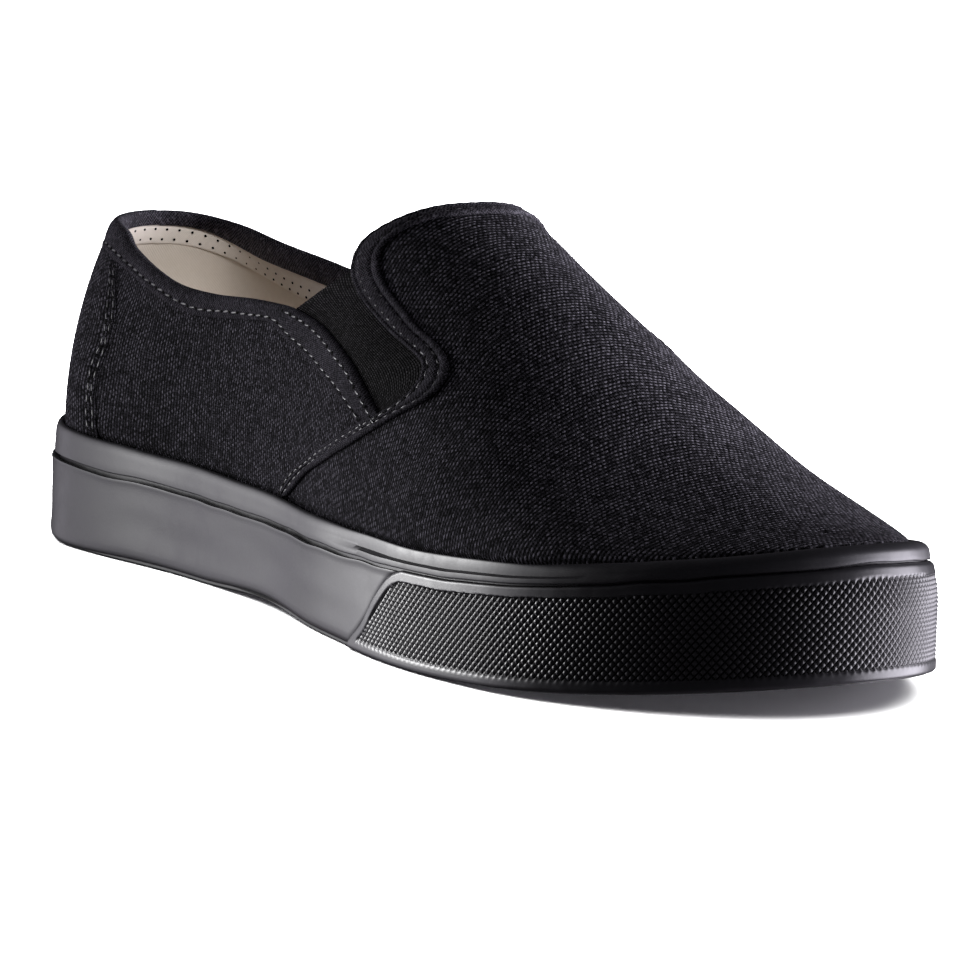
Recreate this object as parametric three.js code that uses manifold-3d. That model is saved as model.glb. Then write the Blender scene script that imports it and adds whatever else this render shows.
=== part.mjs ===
// A canvas slip-on sneaker for the right foot, standing empty on its sole.
// Millimetres. +X to the toe, +Y to the inner side of the foot, +Z up.
import * as THREE from 'three';
import Module from 'manifold-3d';

// Driving sizes of the last and the sole
const soleLength = 285;
const ballWidth = 103.4;
const toeShift = 6.7; // the tip lies towards the inner side
const toeSpring = 8;
const archRise = 1.2;
const heelCapLength = 34;
const toeCapLength = 63.6;
const instepHeight = 94.5;

// Sole sheets, heights above the ground line
const outsoleThickness = 2.4;
const midsoleBase = 8.6;
const sidewallHeight = 24.4; // at the toe
const bandHeight = 7.8; // at the heel
const insoleThickness = 3.5;

// Setbacks from the outline, and walls
const outsoleSetback = 0.6;
const sidewallSetback = 0.3;
const sidewallThickness = 3.1;
const bandSetback = 0.8;
const bandTopSetback = 2.3;
const toeLedge = 2.2; // how much further in the upper starts at the toe's tip
const toeLedgeFrom = 0.79;
const bumperThickness = 2.4;
const bumperFoot = 2.2;
const upperWall = 2;
const trimThickness = 0.8;
const counterThickness = 0.5;
const bindingThickness = 0.8;
const goreThickness = 1;
const goreOverlap = 4;
const fitGap = 0.2;
const cutReach = 2; // how far a cutting form goes past what it cuts
const sideOverlap = 0.5; // how far the forms of the two sides run into each other
const outsoleEdge = 0.8;
const sidewallLip = 0.6;
const bumperEdge = 0.6;
const bandShoulder = 2.4; // from the band's top down to where it starts to round
const bandRound = 0.9;
const bandLean = 0.2;

// Shape exponents of the two round ends of the outline
const heelRoundness = 2.15;
const toeRoundness = 2.12;

// Half widths of the outline as shares of the ball width, at shares of the length
const outlineTable = [
  { at: 0.0, outer: 0.319, inner: 0.319 },
  { at: 0.12, outer: 0.35, inner: 0.317 },
  { at: 0.28, outer: 0.325, inner: 0.294 },
  { at: 0.42, outer: 0.358, inner: 0.319 },
  { at: 0.55, outer: 0.439, inner: 0.406 },
  { at: 0.68, outer: 0.502, inner: 0.474 },
  { at: 0.8, outer: 0.497, inner: 0.485 },
  { at: 0.9, outer: 0.462, inner: 0.458 },
  { at: 1.0, outer: 0.411, inner: 0.416 },
];

// Heights of the sidewall and of the band on it, as shares of their named heights
const wallTable = [
  { at: 0.0, sidewall: 0.844, band: 1.0 },
  { at: 0.25, sidewall: 0.803, band: 0.872 },
  { at: 0.5, sidewall: 0.803, band: 0.731 },
  { at: 0.75, sidewall: 0.889, band: 0.628 },
  { at: 1.0, sidewall: 1.0, band: 0.5 },
];

// Sections of the last: ridge height as a share of the instep height, ridge lean as a share
// of the ball width, and the exponents of the side's inward and upward turn
const lastTable = [
  { at: 0.0, ridge: 1.03, lean: 0, inward: 0.965, upward: 0.94 },
  { at: 0.1, ridge: 0.931, lean: 0, inward: 1.2, upward: 1.02 },
  { at: 0.25, ridge: 1.015, lean: -0.003, inward: 0.76, upward: 1.01 },
  { at: 0.4, ridge: 1.045, lean: -0.012, inward: 0.675, upward: 1.1 },
  { at: 0.5, ridge: 1.0, lean: -0.02, inward: 0.7, upward: 1.21 },
  { at: 0.6, ridge: 0.874, lean: -0.016, inward: 0.96, upward: 1.22 },
  { at: 0.7, ridge: 0.702, lean: -0.01, inward: 1.1, upward: 1.13 },
  { at: 0.8, ridge: 0.516, lean: -0.005, inward: 1.25, upward: 1.08 },
  { at: 0.9, ridge: 0.426, lean: 0, inward: 1.42, upward: 1.22 },
  { at: 1.0, ridge: 0.393, lean: 0, inward: 1.55, upward: 1.35 },
];
const heelFan = { until: 0.3, reach: 0.11 };
const toeFan = { from: 0.84, reach: 0.063 };

// Side profiles: x as a share of the sole length from its middle, z as a share of the instep height
const toplineTable = [
  { x: -0.56, z: 0.803 },
  { x: -0.48, z: 0.803 },
  { x: -0.467, z: 0.803 },
  { x: -0.45, z: 0.8 },
  { x: -0.401, z: 0.783 },
  { x: -0.372, z: 0.75 },
  { x: -0.31, z: 0.712 },
  { x: -0.27, z: 0.694 },
  { x: -0.22, z: 0.692 },
  { x: -0.16, z: 0.704 },
  { x: -0.097, z: 0.71 },
];
const innerToplineTable = [
  { x: -0.56, z: 0.803 },
  { x: -0.48, z: 0.803 },
  { x: -0.467, z: 0.803 },
  { x: -0.44, z: 0.781 },
  { x: -0.41, z: 0.764 },
  { x: -0.38, z: 0.747 },
  { x: -0.31, z: 0.712 },
  { x: -0.27, z: 0.694 },
  { x: -0.22, z: 0.692 },
  { x: -0.16, z: 0.704 },
  { x: -0.097, z: 0.71 },
];
const goreRearTable = [
  { x: -0.094, z: 0.708 },
  { x: -0.047, z: 0.691 },
  { x: -0.011, z: 0.663 },
  { x: 0.024, z: 0.626 },
  { x: 0.05, z: 0.585 },
  { x: 0.074, z: 0.546 },
];
const goreFrontTable = [
  { x: 0.098, z: 0.557 },
  { x: 0.11, z: 0.587 },
  { x: 0.116, z: 0.621 },
  { x: 0.113, z: 0.648 },
  { x: 0.105, z: 0.667 },
  { x: 0.085, z: 0.688 },
  { x: 0.061, z: 0.711 },
  { x: 0.034, z: 0.743 },
  { x: 0.011, z: 0.772 },
  { x: -0.009, z: 0.806 },
  { x: -0.018, z: 0.831 },
];
const throatTable = [
  { x: -0.021, z: 0.858 },
  { x: -0.018, z: 0.892 },
  { x: -0.009, z: 0.92 },
  { x: 0.003, z: 0.95 },
  { x: 0.011, z: 0.97 },
  { x: 0.019, z: 0.99 },
];
const strapFrontTable = [
  { x: 0.04, z: 1.1 },
  { x: 0.037, z: 0.975 },
  { x: 0.027, z: 0.955 },
  { x: 0.016, z: 0.922 },
  { x: 0.011, z: 0.89 },
  { x: 0.014, z: 0.861 },
  { x: 0.025, z: 0.828 },
  { x: 0.042, z: 0.797 },
  { x: 0.065, z: 0.763 },
  { x: 0.088, z: 0.73 },
  { x: 0.111, z: 0.706 },
  { x: 0.127, z: 0.684 },
  { x: 0.138, z: 0.66 },
  { x: 0.143, z: 0.631 },
  { x: 0.141, z: 0.603 },
  { x: 0.133, z: 0.58 },
  { x: 0.117, z: 0.552 },
  { x: 0.095, z: 0.515 },
  { x: 0.055, z: 0.453 },
  { x: 0.003, z: 0.383 },
  { x: -0.026, z: 0.345 },
  { x: -0.062, z: 0.275 },
];
const strapRearTable = [
  { x: -0.082, z: 0.275 },
  { x: -0.064, z: 0.327 },
  { x: -0.009, z: 0.411 },
  { x: 0.049, z: 0.491 },
  { x: 0.077, z: 0.526 },
];
const facingEdgeTable = [
  { x: -0.56, z: 0.725 },
  { x: -0.45, z: 0.723 },
  { x: -0.415, z: 0.72 },
  { x: -0.371, z: 0.697 },
  { x: -0.316, z: 0.665 },
  { x: -0.267, z: 0.639 },
  { x: -0.237, z: 0.632 },
  { x: -0.191, z: 0.643 },
  { x: -0.159, z: 0.652 },
  { x: -0.124, z: 0.66 },
  { x: -0.094, z: 0.634 },
  { x: -0.058, z: 0.61 },
  { x: -0.022, z: 0.582 },
  { x: 0.02, z: 0.544 },
  { x: 0.045, z: 0.517 },
];
const counterEdgeTable = [
  { x: -0.366, z: 0.24 },
  { x: -0.372, z: 0.36 },
  { x: -0.372, z: 0.445 },
  { x: -0.369, z: 0.511 },
  { x: -0.371, z: 0.571 },
  { x: -0.382, z: 0.66 },
  { x: -0.404, z: 0.76 },
];
const bumperRearTable = [
  { x: 0.092, z: -0.02 },
  { x: 0.098, z: 0.02 },
  { x: 0.119, z: 0.074 },
  { x: 0.137, z: 0.143 },
  { x: 0.162, z: 0.206 },
  { x: 0.2, z: 0.24 },
  { x: 0.3, z: 0.4 },
];
const bindingDepth = 4;
const bindingFrontShare = -0.125;

// Resolution
const stations = 36;
const ribSteps = 12;
const profileStep = 5.4;

const colours = {
  canvas: 0x1b1b1f,
  trim: 0x17171a,
  elastic: 0x141416,
  rubber: 0x3a3a3e,
  tread: 0x242427,
  lining: 0xb9ab93,
};

const wasm = await Module();
wasm.setup();

// A smooth curve through one column of a table
function along(table, column, at) {
  const last = table.length - 1;
  const place = Math.min(Math.max(at, table[0].at), table[last].at);
  let k = 0;
  while (k < last - 1 && place > table[k + 1].at) k += 1;
  const rise = (i) => (table[i + 1][column] - table[i][column]) / (table[i + 1].at - table[i].at);
  const slope = (i) => {
    if (i === 0) return rise(0);
    if (i === last) return rise(last - 1);
    const before = table[i].at - table[i - 1].at;
    const after = table[i + 1].at - table[i].at;
    return (rise(i - 1) * after + rise(i) * before) / (before + after);
  };
  const span = table[k + 1].at - table[k].at;
  const t = (place - table[k].at) / span;
  const low = table[k][column] * (1 + 2 * t) * (1 - t) ** 2 + slope(k) * span * t * (1 - t) ** 2;
  return low + table[k + 1][column] * t * t * (3 - 2 * t) + slope(k + 1) * span * t * t * (t - 1);
}

const clamp01 = (value) => Math.min(Math.max(value, 0), 1);
const ease = (value) => clamp01(value) ** 2 * (3 - 2 * clamp01(value));
const lengthShare = (turn) => (1 - Math.cos(Math.PI * turn)) / 2;

function roundCap(depth, roundness) {
  return clamp01(1 - clamp01(depth) ** roundness) ** (1 / roundness);
}

// The sole's outline: turn runs from the heel's middle (0) to the toe's tip (1) on either side,
// -1 being the foot's outer side
function outline(side, turn) {
  const share = lengthShare(turn);
  const column = side < 0 ? 'outer' : 'inner';
  const heelCap = heelCapLength / soleLength;
  const toeCap = toeCapLength / soleLength;
  const heelEnd = roundCap((heelCap - share) / heelCap, heelRoundness);
  const toeEnd = roundCap((share - 1 + toeCap) / toeCap, toeRoundness);
  const halfWidth = along(outlineTable, column, share) * ballWidth * heelEnd * toeEnd;
  const middle = toeShift * clamp01((share - 0.5) / 0.5) ** 2;
  return new THREE.Vector2(soleLength * (share - 0.5), middle + side * halfWidth);
}

// The same outline moved inwards
function setIn(side, turn, inset) {
  const here = outline(side, turn);
  if (turn <= 0) return here.add(new THREE.Vector2(inset, 0));
  if (turn >= 1) return here.add(new THREE.Vector2(-inset, 0));
  const step = 0.001;
  const run = outline(side, Math.min(turn + step, 1)).sub(outline(side, Math.max(turn - step, 0)));
  run.normalize();
  return here.add(new THREE.Vector2(side * run.y, -side * run.x).multiplyScalar(inset));
}

// Heights along the length: ground line, tops of sidewall and band
const springShare = 0.68;
const ground = (share) => toeSpring * clamp01((share - springShare) / (1 - springShare)) ** 2;
const wallTop = (share) => ground(share) + sidewallHeight * along(wallTable, 'sidewall', share);
const bandTop = (share) => wallTop(share) + bandHeight * along(wallTable, 'band', share);

const archSpan = { from: 0.3, to: 0.52 };
function underside(share) {
  const t = clamp01((share - archSpan.from) / (archSpan.to - archSpan.from));
  return ground(share) + archRise * Math.sin(Math.PI * t) ** 2;
}

// A ring of points round the sole, from the heel's middle along the outer side to the toe and back
function ring(pointAt) {
  const points = [];
  for (let i = 0; i <= stations; i += 1) points.push(pointAt(-1, i / stations));
  for (let i = stations - 1; i > 0; i -= 1) points.push(pointAt(1, i / stations));
  return points;
}

function soleRing(insetAt, heightAt) {
  return ring((side, turn) => {
    const share = lengthShare(turn);
    const flat = setIn(side, turn, typeof insetAt === 'function' ? insetAt(share) : insetAt);
    return new THREE.Vector3(flat.x, flat.y, heightAt(share));
  });
}

function meshOf(points, faces) {
  const geometry = new THREE.BufferGeometry();
  const places = points.flatMap((point) => point.toArray());
  geometry.setAttribute('position', new THREE.Float32BufferAttribute(places, 3));
  geometry.setIndex(faces.flat());
  return geometry;
}

function strip(faces, low, high, count) {
  for (let i = 0; i < count; i += 1) {
    const next = (i + 1) % count;
    faces.push([low + i, low + next, high + next], [low + i, high + next, high + i]);
  }
}

function cap(faces, start, facesUp) {
  const count = 2 * stations;
  for (let i = 0; i < stations; i += 1) {
    const near = [start + i, start + i + 1];
    const far = [start + ((count - i) % count), start + count - i - 1];
    const pair = [];
    if (i < stations - 1) pair.push([near[0], near[1], far[1]]);
    if (i === stations - 1) pair.push([near[0], near[1], far[0]]);
    if (i > 0 && i < stations - 1) pair.push([near[0], far[1], far[0]]);
    for (const face of pair) faces.push(facesUp ? face : face.slice().reverse());
  }
}

// A solid through rings: capped at both ends, or closed on itself as a band is
function loft(rings, isBand) {
  const count = 2 * stations;
  const faces = [];
  for (let k = 0; k < rings.length - 1; k += 1) strip(faces, k * count, (k + 1) * count, count);
  if (isBand) strip(faces, (rings.length - 1) * count, 0, count);
  if (!isBand) {
    cap(faces, 0, false);
    cap(faces, (rings.length - 1) * count, true);
  }
  return meshOf(rings.flat(), faces);
}

function solid(geometry) {
  const vertProperties = Float32Array.from(geometry.getAttribute('position').array);
  const triVerts = Uint32Array.from(geometry.getIndex().array);
  return new wasm.Manifold(new wasm.Mesh({ numProp: 3, vertProperties, triVerts }));
}

function geometryOf(manifold) {
  const cut = manifold.getMesh();
  const geometry = new THREE.BufferGeometry();
  const points = new Float32Array(cut.vertProperties.length);
  points.set(cut.vertProperties);
  geometry.setAttribute('position', new THREE.BufferAttribute(points, 3));
  geometry.setIndex(new THREE.BufferAttribute(Uint32Array.from(cut.triVerts), 1));
  return geometry;
}

// The last's surface, grown by a layer: ribs rise from the band's top edge to the ridge
const ledge = (share) => toeLedge * ease((share - toeLedgeFrom) / (1 - toeLedgeFrom));
const rubberInside = (share) => sidewallSetback + sidewallThickness + ledge(share);
const upperInset = (share, layer) => rubberInside(share) + fitGap - layer;

function ridgePoint(turn, layer) {
  const share = lengthShare(turn);
  const back = heelFan.reach * clamp01(1 - share / heelFan.until) ** 2;
  const front = toeFan.reach * clamp01((share - toeFan.from) / (1 - toeFan.from)) ** 2;
  const middle = (outline(-1, turn).y + outline(1, turn).y) / 2;
  return new THREE.Vector3(
    soleLength * (share + back - front - 0.5),
    middle + ballWidth * along(lastTable, 'lean', share),
    instepHeight * along(lastTable, 'ridge', share) + layer,
  );
}

function ribPoint(side, turn, rise, layer) {
  const share = lengthShare(turn);
  const foot = setIn(side, turn, upperInset(share, layer));
  const ridge = ridgePoint(turn, layer);
  const angle = (rise * Math.PI) / 2;
  const inward = 1 - Math.cos(angle) ** along(lastTable, 'inward', share);
  const upward = Math.sin(angle) ** along(lastTable, 'upward', share);
  const base = bandTop(share);
  return new THREE.Vector3(
    foot.x + (ridge.x - foot.x) * inward,
    foot.y + (ridge.y - foot.y) * inward,
    base + (ridge.z - base) * upward,
  );
}

// The closed form of the last with a layer on it, from bottomAt up
function lastForm(layer, bottomAt) {
  const rings = [];
  rings.push(soleRing((share) => upperInset(share, layer), bottomAt));
  for (let k = 0; k < ribSteps; k += 1) {
    rings.push(ring((side, turn) => ribPoint(side, turn, k / ribSteps, layer)));
  }
  if (bottomAt === aboveBand) rings.splice(1, 1);
  const count = 2 * stations;
  const faces = [];
  for (let k = 0; k < rings.length - 1; k += 1) strip(faces, k * count, (k + 1) * count, count);
  cap(faces, 0, false);
  const lastRing = (rings.length - 1) * count;
  const ridgeStart = rings.length * count;
  const ridge = [];
  for (let i = 0; i <= stations; i += 1) ridge.push(ridgePoint(i / stations, layer));
  for (let i = 0; i < stations; i += 1) {
    const outer = [lastRing + i, lastRing + i + 1];
    const inner = [lastRing + ((count - i) % count), lastRing + count - i - 1];
    const top = [ridgeStart + i, ridgeStart + i + 1];
    faces.push([outer[0], outer[1], top[1]], [outer[0], top[1], top[0]]);
    faces.push([inner[0], top[1], inner[1]], [inner[0], top[0], top[1]]);
  }
  return solid(meshOf([...rings.flat(), ...ridge], faces));
}

const midsoleTop = (share) => ground(share) + midsoleBase;
const upperFoot = (share) => midsoleTop(share) + fitGap;
const belowUpper = (share) => midsoleTop(share) - cutReach;
const aboveBand = (share) => bandTop(share) + fitGap;

// A side profile given as shares, smoothed and moved by a small step
function profile(table, shift = [0, 0]) {
  const curve = new THREE.SplineCurve(table.map(
    (row) => new THREE.Vector2(row.x * soleLength + shift[0], row.z * instepHeight + shift[1]),
  ));
  return curve.getSpacedPoints(Math.ceil(curve.getLength() / profileStep));
}

// A prism with the given side profile, across the whole shoe or a little more than one side of it
function across(points, side = 0) {
  const width = side === 0 ? 2 * ballWidth : ballWidth + sideOverlap;
  const shape = new THREE.Shape(points);
  const prism = new THREE.ExtrudeGeometry(shape, { depth: width, bevelEnabled: false, steps: 1 });
  prism.deleteAttribute('normal');
  prism.deleteAttribute('uv');
  prism.rotateX(Math.PI / 2);
  prism.translate(0, [sideOverlap, width / 2, ballWidth][side + 1], 0);
  return mergedSolid(prism);
}

function mergedSolid(geometry) {
  const places = geometry.getAttribute('position');
  const seen = new Map();
  const points = [];
  const order = [];
  for (let i = 0; i < places.count; i += 1) {
    const point = new THREE.Vector3().fromBufferAttribute(places, i);
    const key = point.toArray().map((value) => value.toFixed(4)).join(' ');
    if (!seen.has(key)) {
      seen.set(key, points.length);
      points.push(point);
    }
    order.push(seen.get(key));
  }
  const faces = [];
  for (let i = 0; i < order.length; i += 3) faces.push([order[i], order[i + 1], order[i + 2]]);
  return solid(meshOf(points, faces));
}

const skyHeight = 2 * instepHeight;
const farBack = -soleLength;
const reversed = (points) => points.slice().reverse();
const corner = (x, z) => new THREE.Vector2(x, z);

const sides = [-1, 1];
const rimOf = (side) => (side < 0 ? toplineTable : innerToplineTable);

// Everything on one side above the topline and behind the gore's rear edge
function rearOpening(side, shift) {
  const edge = [...profile(rimOf(side), shift), ...profile(goreRearTable, shift)];
  const tip = edge[edge.length - 1];
  const throat = profile(throatTable)[0];
  const above = [corner(throat.x, skyHeight), corner(farBack, skyHeight)];
  return across([...edge, corner(tip.x + cutReach, tip.y), throat, ...above], side);
}

// Everything behind the gore's front edge and the throat
function frontOpening() {
  const edge = [...profile(goreFrontTable), ...profile(throatTable)];
  const rear = profile(goreRearTable);
  return across([
    ...rear, ...edge, corner(edge[edge.length - 1].x, skyHeight), corner(rear[0].x, skyHeight),
  ]);
}

// The folded trims stand proud of the canvas's own edge at the openings
const foldShift = [-2 * fitGap, -bindingThickness - fitGap];

function upperSolid() {
  const outer = lastForm(0, upperFoot);
  const wall = outer.subtract(lastForm(-upperWall, belowUpper)).subtract(frontOpening());
  return sides.reduce((rest, side) => rest.subtract(rearOpening(side, foldShift)), wall);
}

function skin(from, to) {
  return lastForm(to, aboveBand).subtract(lastForm(from, belowUpper));
}

function vampTrimSolid() {
  const front = profile(strapFrontTable);
  const gore = profile(goreFrontTable);
  const throat = profile(throatTable);
  const rear = profile(strapRearTable);
  const top = corner(throat[throat.length - 1].x, front[0].y);
  const opening = [...reversed(throat), ...reversed(gore), ...reversed(rear)];
  const area = across([...reversed(front), top, ...opening]);
  return skin(fitGap, fitGap + trimThickness).intersect(area);
}

function facingArea(side) {
  const edge = profile(facingEdgeTable);
  const gore = profile(goreRearTable);
  return across([...edge, ...reversed(gore), ...reversed(profile(rimOf(side)))], side);
}

// The facing on the outside, the fold inside and the lip that joins them over the rim
function collarTrimSolid() {
  const innerFace = -upperWall - fitGap;
  const foldFace = innerFace - bindingThickness;
  const outside = skin(fitGap, fitGap + trimThickness);
  const inside = lastForm(innerFace, belowUpper).subtract(lastForm(foldFace, belowUpper));
  const over = lastForm(fitGap + trimThickness, aboveBand).subtract(lastForm(foldFace, belowUpper));
  const pieces = [];
  for (const side of sides) {
    const front = bindingFrontShare * soleLength;
    const rim = profile(rimOf(side)).filter((point) => point.x < front);
    const strip = (depth) => {
      const under = rim.map((point) => corner(point.x, point.y - depth));
      return across([...under, ...reversed(rim)], side);
    };
    pieces.push(outside.intersect(facingArea(side)));
    pieces.push(inside.intersect(strip(bindingDepth)));
    pieces.push(over.intersect(strip(bindingThickness)));
  }
  return wasm.Manifold.union(pieces);
}

function counterSolid() {
  const seam = profile(counterEdgeTable);
  const edge = profile(facingEdgeTable, [0, -2 * fitGap]);
  const behind = edge.filter((point) => point.x < seam[seam.length - 1].x - cutReach);
  const inFront = seam.filter((point) => point.y < behind[behind.length - 1].y);
  const back = [corner(farBack, behind[0].y), corner(farBack, seam[0].y)];
  const area = across([...inFront, ...reversed(behind), ...back]);
  return skin(fitGap, fitGap + counterThickness).intersect(area);
}

function goreSolid(side) {
  const face = -upperWall - fitGap;
  const layer = lastForm(face, belowUpper).subtract(lastForm(face - goreThickness, belowUpper));
  const rear = profile(goreRearTable, [-goreOverlap / 2, -goreOverlap]);
  const front = profile(goreFrontTable, [goreOverlap, goreOverlap / 3]);
  const top = front.filter((point) => point.y < profile(goreFrontTable).at(-1).y);
  const area = across([...rear, ...top, profile(goreRearTable)[0]]);
  const half = new THREE.BoxGeometry(2 * soleLength, ballWidth, skyHeight);
  half.translate(0, (side * ballWidth) / 2, 0);
  half.deleteAttribute('normal');
  half.deleteAttribute('uv');
  return layer.intersect(area).intersect(mergedSolid(half.toNonIndexed()));
}

const outsoleTop = (share) => ground(share) + outsoleThickness;
const midsoleFoot = (share) => outsoleTop(share) + fitGap;

function outsoleGeometry() {
  return loft([
    soleRing(outsoleSetback + outsoleEdge, underside),
    soleRing(outsoleSetback, (share) => underside(share) + outsoleEdge),
    soleRing(outsoleSetback, outsoleTop),
  ], false);
}

// The bumper's ring of rubber, wider and taller by grow
function bumperRing(grow) {
  const foot = (share) => ground(share) + bumperFoot + 2 * fitGap - grow;
  const top = (share) => wallTop(share) + grow;
  const inside = bumperThickness + grow;
  return solid(loft([
    soleRing(inside, foot),
    soleRing(bumperEdge - grow, foot),
    soleRing(-grow, (share) => foot(share) + bumperEdge),
    soleRing(-grow, (share) => top(share) - bumperEdge),
    soleRing(bumperEdge - grow, top),
    soleRing(inside, top),
  ], true));
}

function bumperArea(shift) {
  const rear = profile(bumperRearTable, [shift, 0]);
  const low = rear[0].y - toeSpring;
  const high = rear[rear.length - 1].y;
  const front = [corner(rear[0].x, low), corner(soleLength, low), corner(soleLength, high)];
  return across([...front, ...reversed(rear)]);
}

function midsoleSolid() {
  const tray = solid(loft([
    soleRing(sidewallSetback, midsoleFoot),
    soleRing(sidewallSetback, (share) => wallTop(share) - sidewallLip),
    soleRing(sidewallSetback + sidewallLip, wallTop),
    soleRing(rubberInside, wallTop),
    soleRing(rubberInside, midsoleTop),
  ], false));
  return tray.subtract(bumperRing(fitGap).intersect(bumperArea(-fitGap)));
}

function bandGeometry() {
  const foot = (share) => wallTop(share) + fitGap;
  const topInset = (share) => bandTopSetback + ledge(share);
  const roundInset = (share) => (bandSetback + topInset(share)) / 2;
  return loft([
    soleRing(rubberInside, foot),
    soleRing(bandSetback, foot),
    soleRing(bandSetback + bandLean, (share) => bandTop(share) - bandShoulder),
    soleRing(roundInset, (share) => bandTop(share) - bandRound),
    soleRing(topInset, bandTop),
    soleRing(rubberInside, (share) => bandTop(share) - bandLean),
  ], true);
}

function insoleGeometry() {
  const inset = (share) => upperInset(share, -upperWall) + fitGap;
  const foot = (share) => midsoleTop(share) + fitGap;
  return loft([
    soleRing(inset, foot),
    soleRing(inset, (share) => foot(share) + insoleThickness),
  ], false);
}

function piece(name, geometry, color, roughness) {
  const material = new THREE.MeshStandardMaterial({ color, roughness, metalness: 0 });
  const mesh = new THREE.Mesh(geometry, material);
  mesh.name = name;
  return mesh;
}

const shoe = new THREE.Group();
shoe.add(piece('outsole', outsoleGeometry(), colours.tread, 0.7));
shoe.add(piece('midsole', geometryOf(midsoleSolid()), colours.rubber, 0.55));
shoe.add(piece('foxing_band', bandGeometry(), colours.rubber, 0.5));
shoe.add(piece('toe_bumper', geometryOf(bumperRing(0).intersect(bumperArea(0))), colours.rubber, 0.55));
shoe.add(piece('upper', geometryOf(upperSolid()), colours.canvas, 0.95));
shoe.add(piece('vamp_trim', geometryOf(vampTrimSolid()), colours.trim, 0.9));
shoe.add(piece('collar_trim', geometryOf(collarTrimSolid()), colours.trim, 0.9));
shoe.add(piece('heel_counter', geometryOf(counterSolid()), colours.canvas, 0.95));
shoe.add(piece('gore_outer', geometryOf(goreSolid(-1)), colours.elastic, 0.85));
shoe.add(piece('gore_inner', geometryOf(goreSolid(1)), colours.elastic, 0.85));
shoe.add(piece('insole', insoleGeometry(), colours.lining, 0.9));

// The origin is the bottom centre of the shoe's box
const box = new THREE.Box3().setFromObject(shoe);
const middle = box.getCenter(new THREE.Vector3());
shoe.position.set(-middle.x, -middle.y, -box.min.z);

export default shoe;
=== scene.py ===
import math
from functools import lru_cache

import bmesh
import bpy
from mathutils import Matrix, Vector, noise
from mathutils.bvhtree import BVHTree


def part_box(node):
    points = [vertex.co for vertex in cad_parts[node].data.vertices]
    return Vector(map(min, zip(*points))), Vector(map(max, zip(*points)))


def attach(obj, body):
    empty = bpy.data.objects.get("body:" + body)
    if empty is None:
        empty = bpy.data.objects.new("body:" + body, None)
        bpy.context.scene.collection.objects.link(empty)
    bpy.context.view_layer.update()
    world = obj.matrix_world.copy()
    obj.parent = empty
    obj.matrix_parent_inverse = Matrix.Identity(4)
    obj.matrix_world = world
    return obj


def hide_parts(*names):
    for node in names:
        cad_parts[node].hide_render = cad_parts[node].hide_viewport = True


# The looks of a canvas slip-on sneaker: finished canvas, trims, elastic, lining, stitches and rubber.
# Sizes are millimetres along the shoe's own axes until a piece is finished, as in the part's source.
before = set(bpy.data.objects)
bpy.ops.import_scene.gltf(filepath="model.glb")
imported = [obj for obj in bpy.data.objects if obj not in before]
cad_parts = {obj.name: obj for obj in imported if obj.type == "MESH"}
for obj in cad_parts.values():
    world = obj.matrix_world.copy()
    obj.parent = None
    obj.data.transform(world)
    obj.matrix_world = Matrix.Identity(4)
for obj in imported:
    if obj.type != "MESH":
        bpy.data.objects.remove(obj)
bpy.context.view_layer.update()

# Driving sizes of the last and the sole, the same as the part's
SOLE_LENGTH = 285
BALL_WIDTH = 103.4
TOE_SHIFT = 6.7
TOE_SPRING = 8
ARCH_RISE = 1.2
HEEL_CAP_LENGTH = 34
TOE_CAP_LENGTH = 63.6
INSTEP_HEIGHT = 94.5
OUTSOLE_THICKNESS = 2.4
OUTSOLE_SETBACK = 0.6
MIDSOLE_BASE = 8.6
SIDEWALL_HEIGHT = 24.4
BAND_HEIGHT = 7.8
INSOLE_THICKNESS = 3.5
SIDEWALL_SETBACK = 0.3
SIDEWALL_THICKNESS = 3.1
BAND_SETBACK = 0.8
BAND_TOP_SETBACK = 2.3
BAND_SHOULDER = 2.4
BAND_LEAN = 0.2
TOE_LEDGE = 4.4
TOE_LEDGE_FROM = 0.79
UPPER_WALL = 2
FIT_GAP = 0.2
HEEL_ROUNDNESS = 2.15
TOE_ROUNDNESS = 2.12
SPRING_SHARE = 0.68
CAD_STATIONS = 36


def table(names, *rows):
    """A table of rows with named columns."""
    return [dict(zip(names.split(), row)) for row in rows]


OUTLINE = table(
    "at outer inner",
    (0.0, 0.319, 0.319),
    (0.12, 0.35, 0.317),
    (0.28, 0.325, 0.294),
    (0.42, 0.358, 0.319),
    (0.55, 0.439, 0.406),
    (0.68, 0.502, 0.474),
    (0.8, 0.497, 0.485),
    (0.9, 0.462, 0.458),
    (1.0, 0.411, 0.416),
)
WALL = table(
    "at sidewall band",
    (0.0, 0.844, 1.0),
    (0.25, 0.803, 0.872),
    (0.5, 0.803, 0.731),
    (0.75, 0.889, 0.628),
    (1.0, 1.0, 0.5),
)
LAST = table(
    "at ridge lean inward upward",
    (0.0, 1.03, 0, 0.965, 0.94),
    (0.1, 0.931, 0, 1.2, 1.02),
    (0.25, 1.015, -0.003, 0.76, 1.01),
    (0.4, 1.045, -0.012, 0.675, 1.1),
    (0.5, 1.0, -0.02, 0.7, 1.21),
    (0.6, 0.874, -0.016, 0.96, 1.22),
    (0.7, 0.702, -0.01, 1.1, 1.13),
    (0.8, 0.516, -0.005, 1.25, 1.08),
    (0.9, 0.426, 0, 1.42, 1.22),
    (1.0, 0.393, 0, 1.55, 1.35),
)
HEEL_FAN = {"until": 0.3, "reach": 0.11}
TOE_FAN = {"from": 0.84, "reach": 0.063}

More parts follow.
